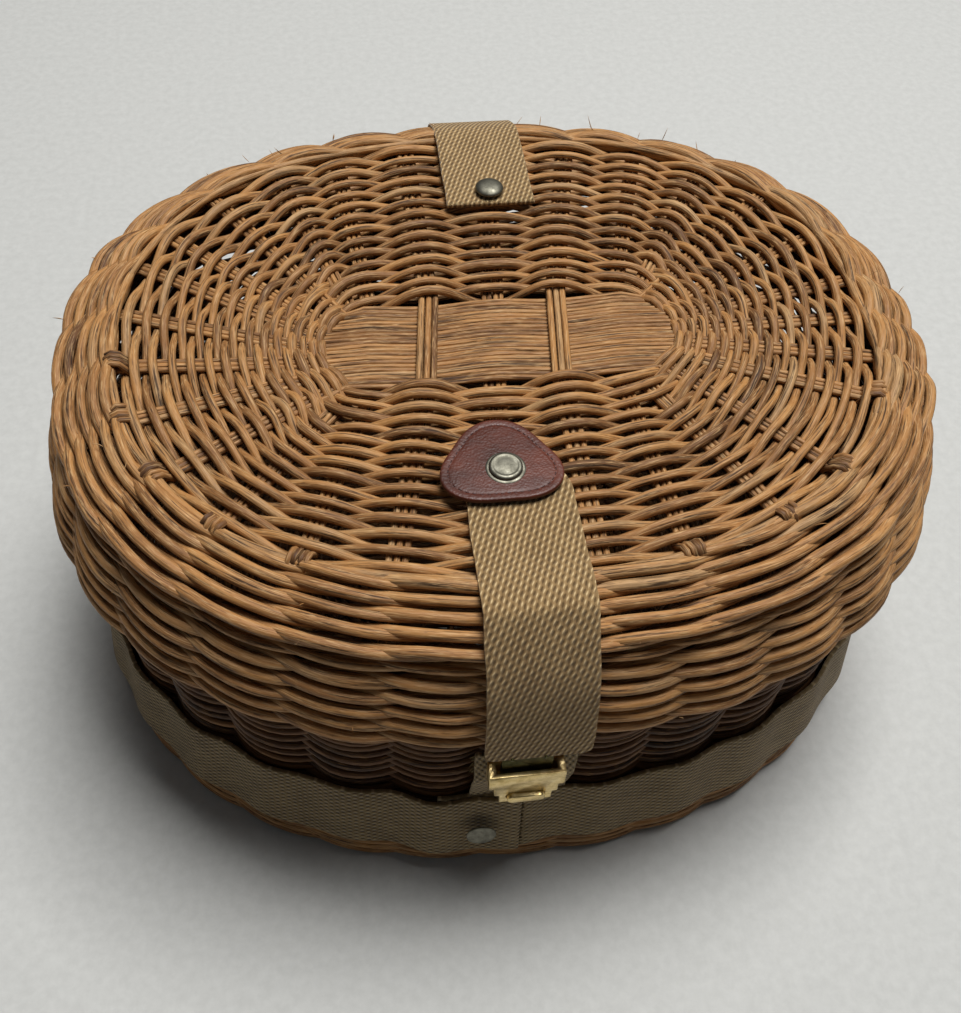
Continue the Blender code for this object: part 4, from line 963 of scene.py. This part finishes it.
def lay_webbing(name, lines, thickness, material):
    """lines[along][across] are points in mm on the inner face, given in an order that turns out."""
    lines = np.asarray(lines, float)
    long_count, wide_count = lines.shape[:2]
    only()
    bpy.ops.mesh.primitive_grid_add(x_subdivisions=wide_count - 1, y_subdivisions=long_count - 1,
                                    size=1.0)
    piece = bpy.context.object
    piece.name = name
    mesh = piece.data
    mesh.name = name
    flat = np.zeros(len(mesh.vertices) * 3)
    mesh.vertices.foreach_get("co", flat)
    flat = flat.reshape(-1, 3)
    across = np.rint((flat[:, 0] + 0.5) * (wide_count - 1)).astype(int)
    along = np.rint((flat[:, 1] + 0.5) * (long_count - 1)).astype(int)
    mesh.vertices.foreach_set("co", (lines[along, across] * MM).ravel())
    lengths = lengths_along(lines.mean(axis=1))
    widths = np.linalg.norm(lines - lines[:, :1], axis=2)
    # A line that was cut narrow keeps its yarns in the middle of the tape.
    widths += (widths[:, -1].max() - widths[:, -1:]) / 2
    points = np.zeros(len(mesh.loops), int)
    mesh.loops.foreach_get("vertex_index", points)
    uvs = np.column_stack([widths[along[points], across[points]], lengths[along[points]]])
    mesh.uv_layers[0].name = "UVMap"
    mesh.uv_layers[0].data.foreach_set("uv", uvs.ravel())
    mesh.update()
    thickener = piece.modifiers.new("thickness", "SOLIDIFY")
    thickener.thickness = thickness * MM
    thickener.offset = 1.0
    thickener.use_even_offset = True
    soft_edge(piece, 0.6, 50)
    only(piece)
    for modifier in [m.name for m in piece.modifiers]:
        bpy.ops.object.modifier_apply(modifier=modifier)
    bpy.ops.object.shade_smooth_by_angle(angle=math.radians(50))
    cover(mesh, material)
    print(name, round(lengths[-1], 1), "mm long,", len(mesh.polygons), "faces")
    return piece


def smooth_path(points, step=1.5):
    """A smooth line through points, by Catmull-Rom, with samples about step mm apart."""
    points = np.asarray(points, float)
    padded = np.vstack([2 * points[0] - points[1], points, 2 * points[-1] - points[-2]])
    made = []
    for k in range(1, len(padded) - 2):
        p0, p1, p2, p3 = padded[k - 1:k + 3]
        count = max(2, int(np.linalg.norm(p2 - p1) / step))
        part = np.linspace(0, 1, count, endpoint=False)[:, None]
        made.append(catmull_rom(p0, p1, p2, p3, part))
    return np.vstack(made + [points[-1:]])


def strap_lines(path, middle_x, width, facing, seed, first_corner=0.0, last_corner=0.0):
    """Lines for a strap whose path is (distance from the middle, height); facing -1 is the front.

    Its two ends have corners rounded by first_corner and last_corner mm.
    """
    from_first = lengths_along(path)
    unsteady = np.random.default_rng(seed)
    knots = unsteady.uniform(-1, 1, (3, len(path) // 7 + 4))
    places = np.arange(len(path)) / 7
    left = np.interp(places, np.arange(knots.shape[1]), knots[0]) * 0.3
    right = np.interp(places, np.arange(knots.shape[1]), knots[1]) * 0.3
    lines = []
    for k, (reach, height) in enumerate(path):
        cut = 0.0
        to_last = from_first[-1] - from_first[k]
        for corner, gone in ((first_corner, from_first[k]), (last_corner, to_last)):
            short = max(corner - gone, 0.0)
            cut += corner - math.sqrt(corner ** 2 - short ** 2)
        xs = middle_x + np.linspace(-width / 2 + left[k] + cut, width / 2 + right[k] - cut, 21)
        if facing > 0:
            xs = xs[::-1]
        lines.append([(x, facing * reach, height) for x in xs])
    return lines


# %% Front strap and hinge strap
FRONT_STRAP_X = -4.5
front_path = smooth_path([(72.5, 170.9), (95, 170.9), (115, 171.1), (124, 172.2), (131, 172.5),
                          (136.6, 172.3), (139.2, 171.0), (146, 163.4), (153, 152.6), (157.5, 141),
                          (160, 127), (161.3, 112)])
front_lines = strap_lines(front_path, FRONT_STRAP_X, WEB_WIDTH, -1, 4, 18.0, 3.0)
front_strap = lay_webbing("front_strap", front_lines, WEB_THICK, strap_cotton)
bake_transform(front_strap)
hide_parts("strap_top", "strap_flap")

HINGE_STRAP_X = 6.0
hinge_path = smooth_path([(68.5, 170.8), (95, 170.6), (114, 169.9), (121, 169.4), (127, 167.9),
                          (133, 165.1), (139, 161.9), (145, 158.4), (150, 154.8), (153.4, 150.6),
                          (158, 141), (160.8, 127), (161.3, 113), (157, 84), (151.4, 60),
                          (152.6, 50), (155.6, 27)])
hinge_strap = lay_webbing("hinge_strap", strap_lines(hinge_path, HINGE_STRAP_X, WEB_WIDTH, 1, 8),
                          WEB_THICK, strap_cotton)
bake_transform(hinge_strap)
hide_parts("hinge_strap")

# %% [markdown]
# ## Belt and lock tab
#
# The belt goes round the waist and laps over its own start at the front, left of the lock. It is
# not pulled tight, so it dips a little between the stakes. The lock sits on a short tab of the
# same webbing, caught behind the belt, whose cut edges show left and right of the lock.

# %% Belt
BELT_LOW = 19.0
BELT_HIGH = 56.7
BELT_END_X = -5.5
BELT_LAP = 32.0


def belt_lines(first_share, last_share, extra):
    """Lines of the belt between two shares; extra lifts the lapped end over the first turn."""
    shares = np.linspace(first_share, last_share, int(abs(last_share - first_share) * 520))
    lines = []
    for share in shares:
        stake = share * BODY_STAKES - FIRST_STAKE_X * BODY_STAKES / BODY_LENGTH
        ripple = 0.9 * math.cos(2 * math.pi * stake)
        heights = np.linspace(BELT_HIGH, BELT_LOW, 15)
        edge_wave = 0.6 * math.sin(2 * math.pi * share * 17.3) + 0.35 * math.sin(share * 260.0)
        outs = wall_out(heights) + 1.1 + ripple + extra(share)
        turn = float(turn_at(share))
        xs, ys = oval(outs, np.full(15, turn))
        lines.append(np.column_stack([xs, ys, heights + edge_wave]))
    return lines


belt_end = BELT_END_X / BODY_LENGTH
belt_start = (BELT_END_X - BELT_LAP) / BODY_LENGTH


def lap_lift(share):
    """The last stretch of the belt climbs over its own start, then lies on it."""
    climb = 22.0 / BODY_LENGTH
    part = min(max((share - 1 - belt_start + climb) / climb, 0.0), 1.0)
    return 2.1 * part * part * (3 - 2 * part)


belt = lay_webbing("belt", belt_lines(belt_start, 1 + belt_end, lap_lift), WEB_THICK, belt_cotton)
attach(belt, "basket")
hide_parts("belt")

# %% Lock tab
tab_path = smooth_path([(151.0, 22.0), (148.9, 40.0), (147.6, 58.0), (150.5, 70.0),
                        (154.0, 84.0), (154.0, 95.0), (153.8, 105.5)])
lock_tab = lay_webbing("lock_tab", strap_lines(tab_path, -7.0, WEB_WIDTH, -1, 15), 1.7, belt_cotton)
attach(lock_tab, "basket")
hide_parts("lock_tab")

# %% [markdown]
# ## Frayed yarn
#
# The webbing was cut, not folded, so its ends fray: short curly ends of yarn stand out along each
# cut edge. They are tubes with the same dull cotton look, in the tones of the webbing.

# %% Frayed yarn
cotton_yarn, yarn_tree, yarn_shader = new_material("frayed_cotton_yarn", roughness=0.95)
yarn_tone = add(yarn_tree, "ShaderNodeAttribute", attribute_name="tone").outputs["Fac"]
yarn_colour = ramp(yarn_tree, yarn_tone, [(0.0, "#4a3c25"), (0.6, "#93805a"), (1.0, "#c4b189")])
yarn_tree.links.new(yarn_colour, yarn_shader.inputs["Base Color"])
yarn_shader.inputs["Specular IOR Level"].default_value = 0.2


def fray(name, body, first, last, away, count, reach, tones=(0.3, 0.9)):
    """Yarn ends along the edge from first to last, in mm, that stand out towards away."""
    first, last, away = (np.array(v, float) for v in (first, last, away))
    away /= np.linalg.norm(away)
    edge = (last - first) / np.linalg.norm(last - first)
    lift = np.cross(edge, away)
    yarns = []
    for place in (np.arange(count) + chance.uniform(0.1, 0.9, count)) / count:
        root = first + (last - first) * place
        length = reach * float(chance.uniform(0.35, 1.0))
        bend = float(chance.uniform(-0.6, 0.6))
        curl = float(chance.uniform(-0.3, 0.5))
        steps = np.linspace(0, 1, 5)[:, None]
        line = root + length * (away * steps + edge * bend * steps ** 2 + lift * curl * steps ** 2)
        thick = float(chance.uniform(0.2, 0.34))
        yarns.append(rod_of(line, thick, tone=float(chance.uniform(*tones))))
    made = make_rods(name, yarns, cotton_yarn, sides=6)
    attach(made, body)
    return made


fray("hinge_strap_fray", "lid", (-12.5, 68.9, 171.9), (24.5, 68.9, 171.9), (0, -1, -0.25), 30, 2.0)
fray("tab_left_fray", "basket", (-25.8, -154.9, 91), (-25.8, -154.6, 105), (-1, -0.3, -0.2), 12, 3.2,
     (0.1, 0.6))
fray("tab_right_fray", "basket", (11.8, -154.9, 90), (11.8, -154.6, 105), (1, -0.3, -0.2), 10, 2.4,
     (0.1, 0.6))
fray("belt_end_fray", "basket", (-5.6, -156.6, 22), (-5.6, -152.4, 55), (1, -0.2, 0), 20, 1.8,
     (0.0, 0.5))

# %% [markdown]
# ## Rivets
#
# The rivets are nickel-plated and have dulled to a greenish grey. Each is turned on a lathe in
# reality, so each is made from a disc here: extruded to its rim and inset step by step, with every
# step lifted to the height that the profile has there. The plating is smooth, with faint spots.

# %% Nickel
aged_nickel, nickel_tree, nickel_shader = new_material("aged_nickel_plate", 0.3, 1.0)
nickel_place = place_in_mm(nickel_tree)
nickel_spots = noise(nickel_tree, nickel_place, (3.0, 3.0, 3.0), 5.0, 0.65)
nickel_colour = ramp(nickel_tree, nickel_spots,
                     [(0.3, "#56544a"), (0.52, "#787568"), (0.75, "#918e80")])
nickel_tree.links.new(nickel_colour, nickel_shader.inputs["Base Color"])
nickel_tree.links.new(between(nickel_tree, nickel_spots, 0.3, 0.7, 0.58, 0.42),
                      nickel_shader.inputs["Roughness"])
bump(nickel_tree, nickel_shader, noise(nickel_tree, nickel_place, (0.7, 0.7, 0.7), 3.0), 0.05, 0.4)


# %% Turned caps
def raise_disc(piece, wall, profile):
    """Raises a disc by wall, then insets it in steps of (inset, lift), all in mm."""

    def raise_steps():
        bpy.ops.mesh.extrude_region_move(TRANSFORM_OT_translate={"value": (0, 0, wall * MM)})
        for inset, lift in profile:
            bpy.ops.mesh.inset(thickness=inset * MM, depth=0)
            bpy.ops.transform.translate(value=(0, 0, lift * MM))

    in_edit_mode(piece, raise_steps, lambda: bpy.ops.mesh.select_all(action="SELECT"),
                 lambda: bpy.ops.mesh.normals_make_consistent(inside=False))


def turned_cap(name, radius, wall, profile, place, facing, squash=1.0):
    """A cap on a disc of that radius: up by wall, then steps of (inset, lift), all in mm."""
    only()
    bpy.ops.mesh.primitive_circle_add(vertices=48, radius=radius * MM, fill_type="NGON")
    piece = bpy.context.object
    piece.name = name
    piece.data.name = name
    raise_disc(piece, wall, profile)
    turn = Vector(facing).to_track_quat("Z", "Y").to_matrix().to_4x4()
    taller = Matrix.Scale(squash, 4, (0, 0, 1))
    piece.data.transform(Matrix.Translation(Vector(place) * MM) @ turn @ taller)
    bpy.ops.object.shade_smooth_by_angle(angle=math.radians(40))
    cover(piece.data, aged_nickel)
    print(name, len(piece.data.polygons), "faces")
    return piece


DOME = [(0.25, 0.35), (0.5, 0.42), (0.8, 0.42), (1.0, 0.3), (1.2, 0.18), (1.2, 0.06)]
DISH = [(0.25, 0.3), (0.45, 0.25), (0.5, 0.05), (0.35, -0.12), (0.5, -0.06), (1.0, 0.14), (1.4, 0.1)]
FLAT = [(0.3, 0.22), (0.5, 0.08), (1.5, 0.04), (2.0, 0.02)]
hinge_cap = turned_cap("hinge_rivet_cap", 6.0, 0.55, DOME, (6.0, 76.0, 172.65), (0, 0, 1))
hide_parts("hinge_rivet")
patch_cap = turned_cap("patch_rivet_cap", 6.0, 0.5, DISH, (-8.5, -80.5, 175.1), (0, 0, 1), 1.15)
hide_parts("patch_rivet")
patch_ring = turned_cap("patch_rivet_washer", 7.1, 0.3, [(0.3, 0.2), (0.5, 0.1), (0.5, -0.1)],
                        (-8.5, -80.5, 174.5), (0, 0, 1))
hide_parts("patch_rivet_ring")
belt_cap = turned_cap("belt_rivet_cap", 6.0, 0.5, FLAT, (-22.0, -158.6, 38.9), (-0.02, -1, 0.15))
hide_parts("belt_rivet")
lower_cap = turned_cap("hinge_lower_rivet_cap", 6.0, 0.5, DOME, (6.0, 155.6, 42.7), (0, 1, 0.1))
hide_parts("hinge_lower_rivet")
for each, body in ((hinge_cap, "lid"), (patch_cap, "lid"), (patch_ring, "lid"), (belt_cap, "basket"),
                   (lower_cap, "basket")):
    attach(each, body)

# %% [markdown]
# ## Leather patch
#
# The patch is oxblood leather with a soft shine, a rounded triangle with a line of stitches
# three millimetres in from its edge. It starts as a disc that is drawn out to that outline, then
# it is extruded to the leather's thickness and inset in steps, so that the edge is rounded, the
# stitch line sinks in, and the middle stands up a little. Leather grain is made of tiny pebbles,
# about 0.8 mm across, which a Voronoi pattern gives.

# %% Leather
oxblood, hide_tree, hide_shader = new_material("oxblood_grain_leather", roughness=0.42)
hide_place = place_in_mm(hide_tree)
pebbles = add(hide_tree, "ShaderNodeTexVoronoi", links=[("Vector", hide_place)], Scale=1.15,
              feature="SMOOTH_F1", Smoothness=0.6).outputs["Distance"]
creases = noise(hide_tree, hide_place, (3.4, 3.4, 3.4), 5.0, 0.65)
hide_wear = noise(hide_tree, hide_place, (14.0, 11.0, 9.0), 4.0)
hide_colour = ramp(hide_tree, hide_wear, [(0.3, "#3f1c11"), (0.5, "#522517"), (0.72, "#633121")])
hide_tree.links.new(hide_colour, hide_shader.inputs["Base Color"])
hide_tree.links.new(between(hide_tree, creases, 0.3, 0.7, 0.54, 0.36), hide_shader.inputs["Roughness"])
hide_shader.inputs["Specular IOR Level"].default_value = 0.34
bump(hide_tree, hide_shader, calculate(hide_tree, "MULTIPLY_ADD", creases, 0.8, pebbles), 0.15, 0.7)

# %% Leather patch
PATCH_MIDDLE = (-9.9, -77.7)
PATCH_HALF = (20.9, 18.2)
PATCH_BOTTOM = 172.9
PATCH_WALL = 1.3
PATCH_STEPS = [(0.25, 0.25), (0.5, 0.08), (1.65, 0.03), (0.35, -0.16), (0.35, 0.16), (0.8, 0.04),
               (2.0, 0.1)]


def patch_outline(angle, inset=0.0):
    """A point of the patch's outline, in mm, at an angle round its middle."""
    reach = 1 + 0.11 * math.cos(3 * (angle - math.pi / 2))
    x = (PATCH_HALF[0] - inset) * reach * math.cos(angle)
    y = (PATCH_HALF[1] - inset) * reach * math.sin(angle)
    return PATCH_MIDDLE[0] + x, PATCH_MIDDLE[1] + y


only()
bpy.ops.mesh.primitive_circle_add(vertices=96, radius=1.0, fill_type="NGON")
patch = bpy.context.object
patch.name = "leather_patch_hide"
patch.data.name = patch.name
for vertex in patch.data.vertices:
    x, y = patch_outline(math.atan2(vertex.co.y, vertex.co.x))
    vertex.co = Vector((x, y, PATCH_BOTTOM)) * MM
raise_disc(patch, PATCH_WALL, PATCH_STEPS)
bpy.ops.object.shade_smooth_by_angle(angle=math.radians(60))
cover(patch.data, oxblood)
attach(patch, "lid")
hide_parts("leather_patch")
print("patch", len(patch.data.polygons), "faces")

# %% Stitches
STITCHES = 46
STITCH_IN = 2.75
waxed_thread, thread_tree, thread_shader = new_material("waxed_linen_thread", roughness=0.55)
thread_place = place_in_mm(thread_tree)
thread_colour = ramp(thread_tree, noise(thread_tree, thread_place, (1.5, 1.5, 1.5)),
                     [(0.35, "#2a100c"), (0.65, "#4a231b")])
thread_tree.links.new(thread_colour, thread_shader.inputs["Base Color"])
stitch_rods = []
for k in range(STITCHES):
    line = []
    for part, height in ((-0.31, -0.32), (-0.2, 0.05), (0.0, 0.12), (0.2, 0.05), (0.31, -0.32)):
        x, y = patch_outline((k + part) * 2 * math.pi / STITCHES, STITCH_IN)
        line.append((x, y, PATCH_BOTTOM + 1.5 + height))
    stitch_rods.append(rod_of(line, 0.22, ends="cut", tone=0.3))
stitches = make_rods("patch_stitches", stitch_rods, waxed_thread, sides=6)
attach(stitches, "lid")

# %% [markdown]
# ## Lock
#
# The lock is a brass tuck lock: a stepped housing on a back plate, a slot in its top for the
# tongue on the strap, and a push button below. Its solids are already the right shape, but their
# edges are knife sharp, and a real stamped case has rounded edges that catch a line of light. So
# each solid is copied, its doubles are merged and its flat faces joined, and Bevel rounds the
# edges. The brass was brushed once and is now scratched and dull, with darker brushing streaks.

# %% Brass
worn_brass, brass_tree, brass_shader = new_material("worn_brushed_brass", 0.3, 1.0)
brass_place = place_in_mm(brass_tree)
brushed = noise(brass_tree, brass_place, (7.0, 3.0, 0.22), 3.0)
tarnish = noise(brass_tree, brass_place, (4.0, 4.0, 3.0), 5.0, 0.65)
brass_colour = ramp(brass_tree, tarnish, [(0.3, "#b39a60"), (0.5, "#dcc288"), (0.72, "#efd9a4")])
brass_streaked = blend_colours(brass_tree, between(brass_tree, brushed, 0.42, 0.3, 0.0, 0.5),
                               brass_colour, "#6b5222")
brass_tree.links.new(brass_streaked, brass_shader.inputs["Base Color"])
brass_tree.links.new(between(brass_tree, brushed, 0.3, 0.7, 0.45, 0.24),
                     brass_shader.inputs["Roughness"])
bump(brass_tree, brass_shader, brushed, 0.06, 0.5)


# %% Softened copies of the lock's solids
def softened(node, name, width, material, body):
    """A copy of a CAD node with its doubles merged, flats joined and edges rounded by width mm."""
    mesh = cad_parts[node].data.copy()
    mesh.name = name
    piece = bpy.data.objects.new(name, mesh)
    bpy.context.scene.collection.objects.link(piece)
    in_edit_mode(piece, lambda: bpy.ops.mesh.remove_doubles(threshold=0.000002),
                 lambda: bpy.ops.mesh.dissolve_limited(angle_limit=math.radians(2)))
    soft_edge(piece, width, 35).harden_normals = True
    only(piece)
    bpy.ops.object.modifier_apply(modifier="soft edge")
    bpy.ops.object.shade_smooth_by_angle(angle=math.radians(35))
    cover(piece.data, material)
    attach(piece, body)
    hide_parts(node)
    print(name, len(piece.data.polygons), "faces")
    return piece


softened("lock_housing", "lock_case", 0.3, worn_brass, "basket")
softened("lock_backplate", "lock_back", 0.2, worn_brass, "basket")
softened("lock_button", "lock_push_button", 0.45, worn_brass, "button")

# The tongue is rubbed in its slot but never polished, so it has gone dark green-brown.
tarnished_brass, dull_tree, dull_shader = new_material("tarnished_tongue_brass", 0.45, 1.0)
dull_spots = noise(dull_tree, place_in_mm(dull_tree), (2.5, 2.5, 2.5), 4.0)
dull_colour = ramp(dull_tree, dull_spots, [(0.3, "#2c2b18"), (0.7, "#575232")])
dull_tree.links.new(dull_colour, dull_shader.inputs["Base Color"])
softened("lock_tongue", "strap_tongue", 0.15, tarnished_brass, "strap")

# %% [markdown]
# ## Small parts that stay as they are
#
# The rivets' burrs are small and nearly hidden. Their solids are right, so they keep their mesh
# and only get their metal. The spring's steel is made here too.

# %% Materials for the kept solids
for node in ("belt_rivet_burr", "hinge_lower_rivet_burr", "hinge_rivet_burr", "patch_rivet_burr"):
    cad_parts[node].data.materials[0] = aged_nickel
spring_steel, spring_tree, spring_shader = new_material("drawn_spring_steel", 0.28, 1.0)
spring_place = place_in_mm(spring_tree)
drawn = noise(spring_tree, spring_place, (0.3, 4.0, 0.3), 3.0)
spring_colour = ramp(spring_tree, drawn, [(0.3, "#77797c"), (0.7, "#a9abad")])
spring_tree.links.new(spring_colour, spring_shader.inputs["Base Color"])
print("kept solids dressed")

# %% [markdown]
# ## Spring behind the button
#
# A small coil of three turns pushes the button out. It is made in its rest place between the
# button and the lock, and goes with neither of them.

# %% Button spring
SPRING_MIDDLE = (-8.0, 87.3)
SPRING_ENDS = (-161.25, -159.45)
COIL_RADIUS = 1.4
coil_angle = np.linspace(0, 6 * math.pi, 73)
coil = np.column_stack([SPRING_MIDDLE[0] + COIL_RADIUS * np.cos(coil_angle),
                        np.linspace(*SPRING_ENDS, 73),
                        SPRING_MIDDLE[1] + COIL_RADIUS * np.sin(coil_angle)])
spring = make_rods("button_coil_spring", [rod_of(coil, 0.13, ends="cut", tone=0.5)], spring_steel)
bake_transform(spring)
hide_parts("button_spring")

# %% [markdown]
# ## Floor and light
#
# A plain pale floor, and one large soft lamp high overhead, a little behind the basket and to its
# right. That leaves the front of the basket in its own shade, and the floor keeps the shadow. The
# level is plain: a flat surface that faces up renders about as its colour is written.

# %% Floor, lamp and world
LAMP_PLACE = Vector((0.4, 0.38, 2.4))
LAMP_AIM = Vector((0, 0, 0.1))
LAMP_SIZE = 1.2
LAMP_WATTS = 75
ROOM_STRENGTH = 0.08

only()
bpy.ops.mesh.primitive_plane_add(size=6.0, location=(0, 0, 0))
floor = bpy.context.object
floor.name = "floor"
floor_material, floor_tree, floor_shader = new_material("pale_matt_floor", 0.8)
floor_place = place_in_mm(floor_tree)
floor_speckle = noise(floor_tree, floor_place, (5.0, 5.0, 5.0), 5.0, 0.65)
floor_colour = ramp(floor_tree, floor_speckle, [(0.35, "#bbbbb7"), (0.65, "#c3c3bf")])
floor_tree.links.new(floor_colour, floor_shader.inputs["Base Color"])
floor.data.materials.append(floor_material)

lamp_data = bpy.data.lights.new("overhead_lamp", "AREA")
lamp_data.size = LAMP_SIZE
lamp_data.energy = LAMP_WATTS
lamp = bpy.data.objects.new("overhead_lamp", lamp_data)
bpy.context.scene.collection.objects.link(lamp)
lamp.location = LAMP_PLACE
lamp.rotation_euler = (LAMP_AIM - LAMP_PLACE).to_track_quat("-Z", "Y").to_euler()
world = bpy.data.worlds.new("soft_room")
bpy.context.scene.world = world
world.use_nodes = True
world.node_tree.nodes["Background"].inputs["Color"].default_value = linear("#e8ecf2")
world.node_tree.nodes["Background"].inputs["Strength"].default_value = ROOM_STRENGTH
bpy.context.scene.view_settings.view_transform = "Standard"
